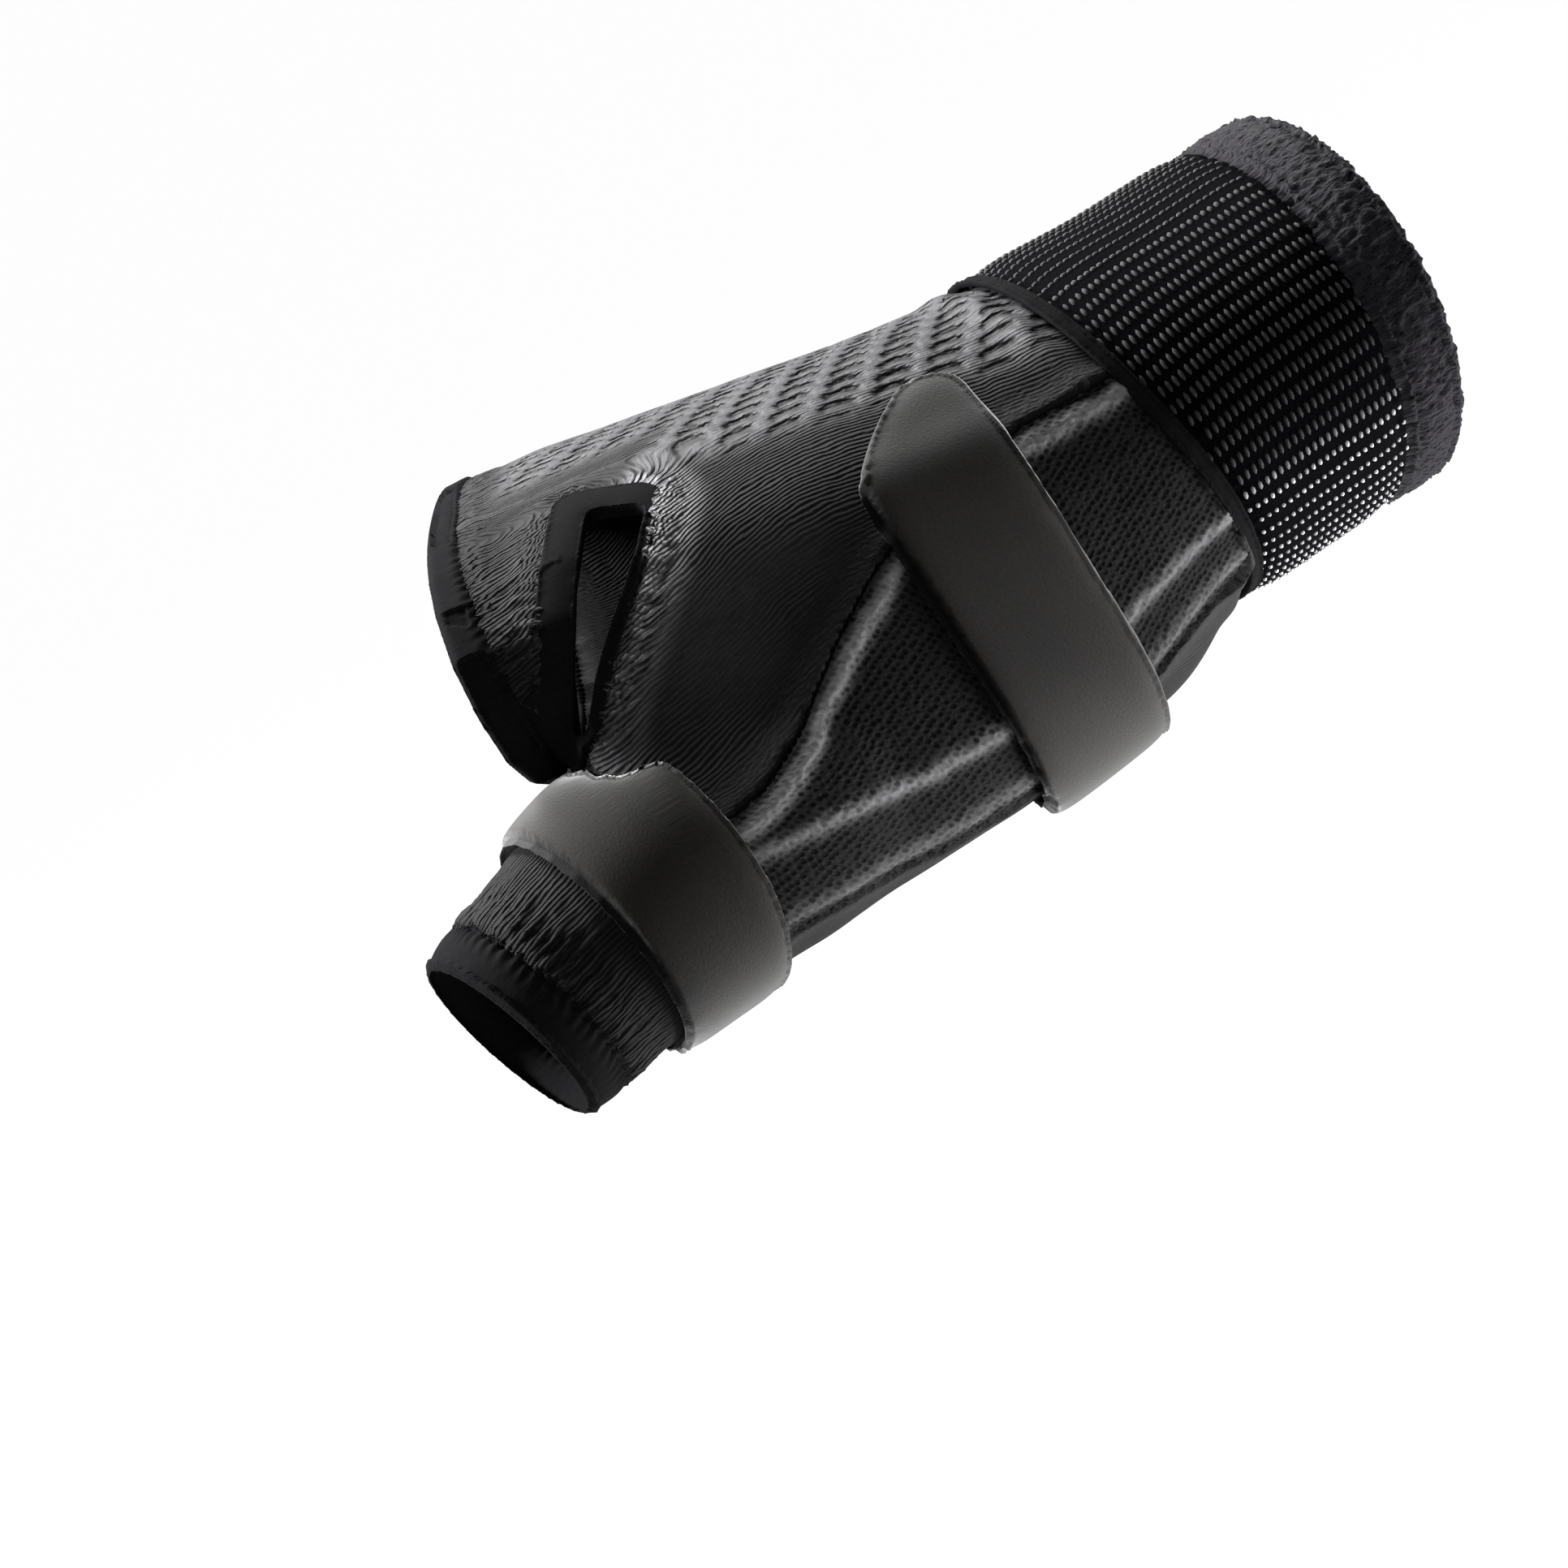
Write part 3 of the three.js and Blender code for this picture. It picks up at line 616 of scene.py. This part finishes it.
WELT_HEIGHT = 0.32
FUZZ_HEIGHT = 0.14
RIM_DEPTH = 0.22

pocket = smooth_piece("stay_pocket_knit", "stay_pocket", 3, 60, limb_outward, 0.4)
meet(pocket.data, ["band_tape", "thumb_strap"])
place, _station, _degrees, _wales = limb_uv(pocket.data)
outer = normals(pocket.data)
tilt = np.sqrt(np.clip(1 - outer[:, 2] ** 2, 0.15, 1))
back_line, seam_line, front_line = (height / tilt for height in pocket_heights(place))
wave = 0.4 * speckle(place, 4, 8)
welt = bell(back_line + 1.0 + wave, 1.3)
welt = np.maximum(welt, 0.9 * bell(seam_line + wave, 1.2))
welt = np.maximum(welt, 0.8 * bell(front_line - 1.2 + wave, 1.1))
channel = smoothstep(0, 1, front_line) * smoothstep(0, -1, seam_line)
rim = np.maximum(smoothstep(-1.0, 0.2, back_line), smoothstep(1.0, -0.2, front_line))
outer_side = smoothstep(0.2, 0.6, distance_to(["knit_sleeve"], place, 2))
fuzz = speckle(place, 0.8, 7) * (0.3 + welt)
raised = (WELT_HEIGHT * welt + FUZZ_HEIGHT * fuzz - RIM_DEPTH * rim) * outer_side
move_to(pocket.data, place + raised[:, None] * outer)
write_mask(pocket.data, "welt", welt)
write_mask(pocket.data, "channel", channel)

WRIST_STRAP_PLACE = -25.8
WRIST_STRAP_SWEEP = 1.8  # further towards the hand at its free end
WRIST_STRAP_WIDTH = 17
THUMB_STRAP_PLACE = -88.2
THUMB_STRAP_WIDTH = 15.6
THUMB_STRAP_TAPER = 2  # wider than that at the palm, narrower at the back
STRAP_LIFT = 0.9  # of a strap's pressed edge above what lies under it


def press_edge(mesh, place, turn, lip, nodes):
    """Presses a strap's edge, where lip is 1, down to the pieces under it."""
    sunk = np.maximum(distance_to(nodes, place, 4) - STRAP_LIFT, 0) * lip
    radial = np.stack([np.zeros(len(turn)), -np.cos(turn), np.sin(turn)], axis=1)
    move_to(mesh, place - sunk[:, None] * radial)


wrist_strap = smooth_piece("wrist_strap_microfibre", "wrist_strap", 5, 100, limb_outward)
place, station, degrees, _wales = limb_uv(wrist_strap.data)
middle = WRIST_STRAP_PLACE - WRIST_STRAP_SWEEP * smoothstep(-50, 35, degrees)
from_edge = station - (middle - WRIST_STRAP_WIDTH / 2)
lip = (1 - smoothstep(0.55, 0.85, from_edge)) * window(-150, 38, degrees, 8)
press_edge(wrist_strap.data, place, np.radians(degrees), lip, ["knit_sleeve", "stay_pocket"])
edge = cut_edge(wrist_strap.data, limb_outward(place))
write_mask(wrist_strap.data, "lining", np.maximum(lip, edge))

thumb_strap = smooth_piece("thumb_strap_microfibre", "thumb_strap", 5, 100, thumb_outward)
place, station, angle = thumb_uv(thumb_strap.data)
width = THUMB_STRAP_WIDTH - THUMB_STRAP_TAPER * np.sin(angle)
from_edge = station - (THUMB_STRAP_PLACE - width / 2)
lip = 1 - smoothstep(0.75, 1.05, from_edge)
press_edge(thumb_strap.data, place, angle, lip, ["knit_sleeve"])
edge = cut_edge(thumb_strap.data, thumb_outward(place))
write_mask(thumb_strap.data, "lining", np.maximum(lip, edge))


# The elastic's stitches: small beads of thread in rows

STITCH_ALONG = 1.0  # from row to row
STITCH_AROUND = 2.3
STITCH_ROWS = 32
FIRST_ROW = 25.3  # its station, beside the terry hem
LAST_STATION = 25.6
OUTSIDE_REACH = 60  # well outside the band


def bead_shape():
    made = bmesh.new()
    bmesh.ops.create_uvsphere(made, u_segments=6, v_segments=4, radius=1)
    bmesh.ops.triangulate(made, faces=made.faces)
    corners = np.array([tuple(vert.co) for vert in made.verts])
    faces = np.array([[vert.index for vert in face.verts] for face in made.faces])
    made.free()
    return corners, faces


def beads(name, rows):
    """One mesh of many beads. rows: place, long axis, short axis, outward, half sizes, painted glint."""
    corners, faces = bead_shape()
    spots = np.array([row[0] for row in rows])
    frames = np.array([[row[1], row[2], row[3]] for row in rows])
    sizes = np.array([row[4] for row in rows])
    verts = spots[:, None, :] + np.einsum("ck,bk,bkx->bcx", corners, sizes, frames)
    tris = faces[None] + (np.arange(len(rows)) * len(corners))[:, None, None]
    mesh = bpy.data.meshes.new(name)
    mesh.from_pydata((verts.reshape(-1, 3) * MM).tolist(), [], tris.reshape(-1, 3).tolist())
    mesh.shade_smooth()
    write_mask(mesh, "painted_glint", np.repeat(np.array([row[5] for row in rows]), len(corners)))
    piece = bpy.data.objects.new(name, mesh)
    bpy.context.scene.collection.objects.link(piece)
    return piece


def stitch_rows():
    tree = tree_of(elastic.data)
    rows = []
    count = int(np.mean(GIRTH[:10]) / STITCH_AROUND)
    for i in range(STITCH_ROWS):
        station = FIRST_ROW - i * STITCH_ALONG
        y, z = on_line(LIMB_LINE, station)
        centre = Vector((station, float(y), float(z))) * MM
        arcs = np.array([np.interp(-station, -STATIONS, column) for column in ARC.T])[::-1]
        girth = arcs[-1] - arcs[0]
        for j in range(count):
            angle = float(np.interp(arcs[0] + (j + 0.5) * girth / count, arcs, ANGLES[::-1]))
            way = Vector((0, -math.cos(angle), math.sin(angle)))
            hit = tree.ray_cast(centre + way * (OUTSIDE_REACH * MM), -way)
            if hit[0] is None:
                continue
            spot, out = hit[0] / MM, hit[1]
            ragged = 0.9 * float(scatter(j, 7)) if i < 3 else 0
            if abs(out.x) > 0.6 or station > LAST_STATION - ragged:
                continue
            along = (Vector((1, 0, 0)) - out * out.x).normalized()
            round_it = out.cross(along)
            turn = math.degrees(angle)
            top = float(window(58, 200, turn, 12))
            low = float(1 - smoothstep(-22, -8, turn)) if turn > -120 else 0.5
            jitter = float(scatter(i, j))
            half_along = 0.3 + 0.2 * top
            half_around = 0.85 - 0.6 * top - 0.52 * low
            height = 0.24 + 0.06 * jitter
            # Painted light: beads on the palm side are painted light grey as a painted reflection of the light
            # from below, and those on the top a little lighter as a painted highlight.
            painted_glint = 0.01 + 0.04 * top * (0.3 + 0.7 * jitter) + 0.5 * low * (0.4 + 0.6 * jitter)
            rows.append((spot, along, round_it, out, (half_along, half_around, height), painted_glint))
    return rows


stitches = beads("elastic_stitches", stitch_rows())


# Materials

def linear(code):
    channels = [int(code[i:i + 2], 16) / 255 for i in (1, 3, 5)]
    return [c / 12.92 if c <= 0.04045 else ((c + 0.055) / 1.055) ** 2.4 for c in channels] + [1.0]


def add(tree, kind, inputs=None, **settings):
    made = tree.nodes.new("ShaderNode" + kind)
    for key, value in settings.items():
        setattr(made, key, value)
    for key, value in (inputs or {}).items():
        if isinstance(value, bpy.types.NodeSocket):
            tree.links.new(value, made.inputs[key])
        else:
            made.inputs[key].default_value = value
    return made


def math_node(tree, operation, *values):
    return add(tree, "Math", dict(enumerate(values)), operation=operation).outputs[0]


def new_material(name, roughness, specular, sheen=0.0):
    material = bpy.data.materials.new(name)
    material.use_nodes = True
    tree = material.node_tree
    shader = tree.nodes["Principled BSDF"]
    shader.inputs["Roughness"].default_value = roughness
    shader.inputs["Specular IOR Level"].default_value = specular
    shader.inputs["Sheen Weight"].default_value = sheen
    shader.inputs["Sheen Roughness"].default_value = 0.4
    return material, tree, shader


def mix_colour(tree, share, low, high):
    mixed = add(tree, "Mix", data_type="RGBA")
    for socket, value in ((mixed.inputs[0], share), (mixed.inputs[6], low), (mixed.inputs[7], high)):
        if isinstance(value, bpy.types.NodeSocket):
            tree.links.new(value, socket)
        else:
            socket.default_value = value
    return mixed.outputs[2]


def bump(tree, shader, height, depth):
    """Relief of a depth in mm."""
    made = add(tree, "Bump", {"Height": height, "Strength": 1.0, "Distance": depth * MM})
    tree.links.new(made.outputs[0], shader.inputs["Normal"])


def noise_on(tree, vector, size, stretch=(1, 1, 1), detail=3.0):
    """Noise with grains of a size in mm."""
    scaled = add(tree, "Mapping", {"Vector": vector, "Scale": stretch}).outputs[0]
    return add(tree, "TexNoise", {"Vector": scaled, "Scale": 1 / size, "Detail": detail}).outputs[0]


def mask(tree, name):
    return add(tree, "Attribute", attribute_name=name).outputs["Fac"]


def ramp(tree, value, low, high):
    """A soft step: 0 at low, 1 at high."""
    inputs = {"Value": value, "From Min": low, "From Max": high}
    return add(tree, "MapRange", inputs, interpolation_type="SMOOTHSTEP").outputs[0]


def comb_nodes(tree, around, along):
    """(dent, a curved painted shadow at its steep edge): the honeycomb of the mesh again, with crisper edges."""
    row = math_node(tree, "FLOOR", math_node(tree, "MULTIPLY_ADD", around, 1 / HONEYCOMB_AROUND, 0.5))
    cells = math_node(tree, "DIVIDE", along, HONEYCOMB_ALONG)
    shifted = math_node(tree, "MULTIPLY_ADD", row, -ROW_SHIFT, cells)
    middle = math_node(tree, "SUBTRACT", math_node(tree, "FRACT", shifted), 0.5)
    lengthwise = math_node(tree, "MULTIPLY", middle, 2 * HONEYCOMB_ALONG / DENT_LENGTH)
    bow = math_node(tree, "MINIMUM", math_node(tree, "MULTIPLY", lengthwise, lengthwise), 1.5)
    across = math_node(tree, "MULTIPLY_ADD", row, -HONEYCOMB_AROUND, math_node(tree, "ADD", around, 0.9))
    across = math_node(tree, "MULTIPLY_ADD", bow, -0.7, across)
    ends = ramp(tree, math_node(tree, "ABSOLUTE", lengthwise), 1.15, 0.75)
    shown = math_node(tree, "MULTIPLY", ends, mask(tree, "comb"))
    steep = math_node(tree, "MULTIPLY", ramp(tree, across, -0.15, 0.2), shown)
    dent = math_node(tree, "MULTIPLY", steep, ramp(tree, across, 2.2, 1.3))
    crescent_painted_shadow = math_node(tree, "MULTIPLY", steep, ramp(tree, across, 0.75, 0.25))
    return dent, crescent_painted_shadow


def between(tree, share, low, high):
    """The value a share of the way from low to high."""
    return math_node(tree, "MULTIPLY_ADD", share, math_node(tree, "SUBTRACT", high, low), low)


def nylon_knit():
    """Black nylon and elastane knit: glossy ribs that catch the light, with a painted sheen on their tops and
    painted shade between them, matt where it is gathered, and a painted grey sheen on the honeycomb, whose dents
    get painted shade and a painted shadow on their upper edge."""
    material, tree, shader = new_material("nylon_knit", 0.4, 0.1)
    satin_and_painted_sheen, comb, meshy = (mask(tree, name) for name in ("satin_and_painted_sheen", "comb", "meshy"))
    roughness = between(tree, comb, between(tree, satin_and_painted_sheen, 0.85, 0.42), 0.6)
    tree.links.new(roughness, shader.inputs["Roughness"])

    uv = add(tree, "UVMap", uv_map="cloth").outputs[0]
    place = add(tree, "SeparateXYZ", {0: uv})
    wander = noise_on(tree, uv, 4.5, (1.0, 0.7, 1.0), detail=1.0)
    waver = noise_on(tree, uv, 1.5, (1.0, 0.6, 1.0), detail=1.0)
    warped = math_node(tree, "MULTIPLY_ADD", wander, 1.2, place.outputs[0])
    warped = math_node(tree, "MULTIPLY_ADD", waver, 0.5, warped)
    wave = math_node(tree, "SINE", math_node(tree, "MULTIPLY", warped, 2 * math.pi / RIB_PITCH))
    ribs = math_node(tree, "MULTIPLY_ADD", wave, 0.5, 0.5)
    ribs = math_node(tree, "MULTIPLY", ribs, between(tree, meshy, 1.0, 0.15))
    ribs = math_node(tree, "MULTIPLY", ribs, between(tree, comb, 1.0, 0.3))
    broken = noise_on(tree, uv, 0.8, (2.0, 0.6, 1.0))
    grain = noise_on(tree, uv, 0.5, (1.0, 0.8, 1.0))
    height = math_node(tree, "MULTIPLY_ADD", broken, 1.3, ribs)
    height = math_node(tree, "MULTIPLY_ADD", math_node(tree, "MULTIPLY", meshy, grain), 1.4, height)

    # Painted shade darkens the valleys between the ribs, and a painted sheen lightens the tops of the ribs where
    # the knit is glossy.
    share = add(tree, "MapRange", {"Value": height, "From Min": 0.55, "From Max": 1.6}).outputs[0]
    crest_painted_sheen = mix_colour(tree, satin_and_painted_sheen, linear("#0c0c0d"), linear("#39393b"))
    colour = mix_colour(tree, share, linear("#020203"), crest_painted_sheen)
    dent, crescent_painted_shadow = comb_nodes(tree, place.outputs[0], place.outputs[1])
    # Painted light on the honeycomb: a painted grey sheen, painted shade in the dents and a painted shadow along
    # their steep edge.
    comb_painted_sheen_and_shade = mix_colour(tree, grain, linear("#171718"), linear("#3b3b3d"))
    comb_painted_sheen_and_shade = mix_colour(tree, dent, comb_painted_sheen_and_shade, mix_colour(tree, grain, linear("#030304"), linear("#0e0e0f")))
    colour = mix_colour(tree, math_node(tree, "MULTIPLY", comb, 0.9), colour, comb_painted_sheen_and_shade)
    colour = mix_colour(tree, crescent_painted_shadow, colour, linear("#010101"))
    tree.links.new(colour, shader.inputs["Base Color"])
    bump(tree, shader, math_node(tree, "MULTIPLY_ADD", dent, -0.8, height), 0.2)
    return material


def cloth(
    name, dark, light, roughness, specular, grain, depth,
    sheen=0.0, stretch=(1, 1, 1), lining=None, contrast=1.2,
):
    """Plain cloth with a fine grain of a size in mm. lining is a mask and colour for a darker edge."""
    material, tree, shader = new_material(name, roughness, specular, sheen)
    uv = add(tree, "UVMap", uv_map="cloth").outputs[0]
    fine = noise_on(tree, uv, grain, stretch)
    wide = noise_on(tree, uv, 8, detail=2.0)
    fine_share = math_node(tree, "MULTIPLY_ADD", fine, contrast, -0.33 * contrast)
    share = math_node(tree, "MULTIPLY_ADD", wide, 0.5, fine_share)
    colour = mix_colour(tree, share, linear(dark), linear(light))
    if lining:
        colour = mix_colour(tree, mask(tree, lining[0]), colour, linear(lining[1]))
    tree.links.new(colour, shader.inputs["Base Color"])
    bump(tree, shader, fine, depth)
    return material


def mesh_knit():
    """Fine mesh knit with a small hole every millimetre, in diagonal rows, and fuzzy raised welts."""
    material, tree, shader = new_material("mesh_knit", 0.85, 0.03)
    uv = add(tree, "UVMap", uv_map="cloth").outputs[0]
    turned = add(tree, "Mapping", {"Vector": uv, "Rotation": (0, 0, math.radians(38))})
    holes = add(tree, "TexVoronoi", {"Vector": turned.outputs[0], "Scale": 1.15, "Randomness": 0.35})
    open_knit = math_node(tree, "SUBTRACT", 1.0, math_node(tree, "MULTIPLY", mask(tree, "welt"), 0.8))
    hole = add(tree, "MapRange", {"Value": holes.outputs["Distance"], "From Min": 0.18, "From Max": 0.5})
    solid = math_node(tree, "MULTIPLY_ADD", math_node(tree, "SUBTRACT", hole.outputs[0], 1.0), open_knit, 1.0)
    fuzz = noise_on(tree, uv, 0.6)
    height = math_node(tree, "MULTIPLY_ADD", fuzz, 0.8, solid)
    # Painted highlight: the welts are painted light grey. The channel between the inner seam and the front edge
    # is darker.
    ground = mix_colour(tree, mask(tree, "welt"), linear("#171718"), linear("#686869"))
    ground = mix_colour(tree, math_node(tree, "MULTIPLY", mask(tree, "channel"), 0.5), ground, linear("#101011"))
    share = math_node(tree, "MULTIPLY_ADD", height, 0.75, -0.3)
    tree.links.new(mix_colour(tree, share, linear("#060607"), ground), shader.inputs["Base Color"])
    bump(tree, shader, height, 0.2)
    return material


def thread():
    """Nylon thread of the elastic: dark, with a painted reflection that makes it light grey on the palm side and
    a faint painted highlight on the top.
    """
    material, tree, shader = new_material("nylon_thread", 0.8, 0.1)
    colour = mix_colour(tree, mask(tree, "painted_glint"), linear("#121213"), linear("#f2f2f4"))
    tree.links.new(colour, shader.inputs["Base Color"])
    return material


def finished(piece, node, material):
    piece.data.materials.clear()
    piece.data.materials.append(material)
    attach(piece, "root")
    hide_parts(node)


KNIT = nylon_knit()
TERRY = cloth("terry_knit", "#010101", "#1d1c1f", 0.95, 0.02, 0.6, 0.5, 0.05, (1.6, 0.7, 1), contrast=5)
TAPE = cloth("nylon_tape", "#070708", "#0f0f10", 0.95, 0.02, 0.4, 0.04, 0.0, (1, 0.4, 1))
ELASTIC = cloth("elastic_ground", "#010102", "#050506", 0.95, 0.01, 0.4, 0.06)
STRAP_LINING = ("lining", "#040404")
MICROFIBRE = cloth("microfibre", "#131212", "#201f1d", 0.9, 0.02, 0.35, 0.05, 0.38, lining=STRAP_LINING)

finished(sleeve, "knit_sleeve", KNIT)
finished(pocket, "stay_pocket", mesh_knit())
finished(forearm_hem, "forearm_hem", TERRY)
finished(hand_hem, "hand_hem", TAPE)
finished(thumb_hem, "thumb_hem", TAPE)
finished(slit_binding, "slit_binding", TAPE)
finished(band_tape, "band_tape", TAPE)
finished(elastic, "elastic_band", ELASTIC)
finished(wrist_strap, "wrist_strap", MICROFIBRE)
finished(thumb_strap, "thumb_strap", MICROFIBRE)
finished(stitches, "elastic_band", thread())


# Floor, light and camera

FLOOR_HEIGHT = -300
FLOOR_LIGHT = 0.98
WORLD_LIGHT = 0.06


def studio():
    """A light panel as floor, so that the background is white."""
    made = bmesh.new()
    bmesh.ops.create_grid(made, x_segments=1, y_segments=1, size=40)
    bmesh.ops.translate(made, verts=made.verts, vec=(0, 0, FLOOR_HEIGHT * MM))
    mesh = bpy.data.meshes.new("floor")
    made.to_mesh(mesh)
    made.free()
    floor = bpy.data.objects.new("floor", mesh)
    bpy.context.scene.collection.objects.link(floor)
    material, _tree, shader = new_material("backlit_acrylic", 0.9, 0.1)
    shader.inputs["Base Color"].default_value = linear("#404040")
    shader.inputs["Emission Color"].default_value = (1, 1, 1, 1)
    shader.inputs["Emission Strength"].default_value = FLOOR_LIGHT
    floor.data.materials.append(material)

    world = bpy.data.worlds.new("studio")
    world.use_nodes = True
    background = world.node_tree.nodes["Background"]
    background.inputs[0].default_value = (1, 1, 1, 1)
    background.inputs[1].default_value = WORLD_LIGHT
    bpy.context.scene.world = world


def area_light(name, place, aim, size, power):
    """A round soft light. Places and size are in metres, power in watts."""
    lamp = bpy.data.lights.new(name, "AREA")
    lamp.shape = "DISK"
    lamp.size = size
    lamp.energy = power
    holder = bpy.data.objects.new(name, lamp)
    way = Vector(aim) - Vector(place)
    turn = way.to_track_quat("-Z", "Y").to_matrix().to_4x4()
    holder.matrix_world = Matrix.Translation(place) @ turn
    bpy.context.scene.collection.objects.link(holder)


AZIMUTH, ELEVATION, ROLL = (math.radians(turn) for turn in (-17, 12, 28.5))
DISTANCE = 0.805  # from the origin, in metres
IMAGE = 1932  # pixels each way
FOCAL, SENSOR = 150, 36
ORIGIN_SHOWS = (1378, 538)  # the pixel at which the origin shows


def camera():
    back = Vector((
        math.sin(AZIMUTH) * math.cos(ELEVATION), -math.cos(AZIMUTH) * math.cos(ELEVATION), math.sin(ELEVATION)
    ))
    level = Vector((math.cos(AZIMUTH), math.sin(AZIMUTH), 0))
    up = back.cross(level)
    right = level * math.cos(ROLL) - up * math.sin(ROLL)
    up = level * math.sin(ROLL) + up * math.cos(ROLL)
    focal_pixels = IMAGE * FOCAL / SENSOR
    across, down = (pixel - IMAGE / 2 for pixel in ORIGIN_SHOWS)
    view = (-back * focal_pixels - right * across + up * down).normalized()
    up = (up - view * up.dot(view)).normalized()
    right = view.cross(up)
    lens = bpy.data.cameras.new("camera")
    lens.lens, lens.sensor_width = FOCAL, SENSOR
    lens.clip_start, lens.clip_end = 0.01, 200
    holder = bpy.data.objects.new("camera", lens)
    turn = Matrix((right, up, -view)).transposed().to_4x4()
    holder.matrix_world = Matrix.Translation(back * DISTANCE) @ turn
    bpy.context.scene.collection.objects.link(holder)
    bpy.context.scene.camera = holder


studio()
area_light("key", (0.02, 0.43, 0.72), (-0.04, 0, 0), 0.55, 40)
area_light("low", (0.15, -0.05, -0.28), (-0.02, 0, 0), 0.3, 8)
area_light("left", (-0.6, 0.2, 0.35), (-0.08, 0, 0), 0.2, 26)
area_light("front", (-0.25, -0.8, 0.35), (-0.04, 0, 0), 0.5, 2)
camera()
bpy.context.scene.view_settings.view_transform = "Standard"
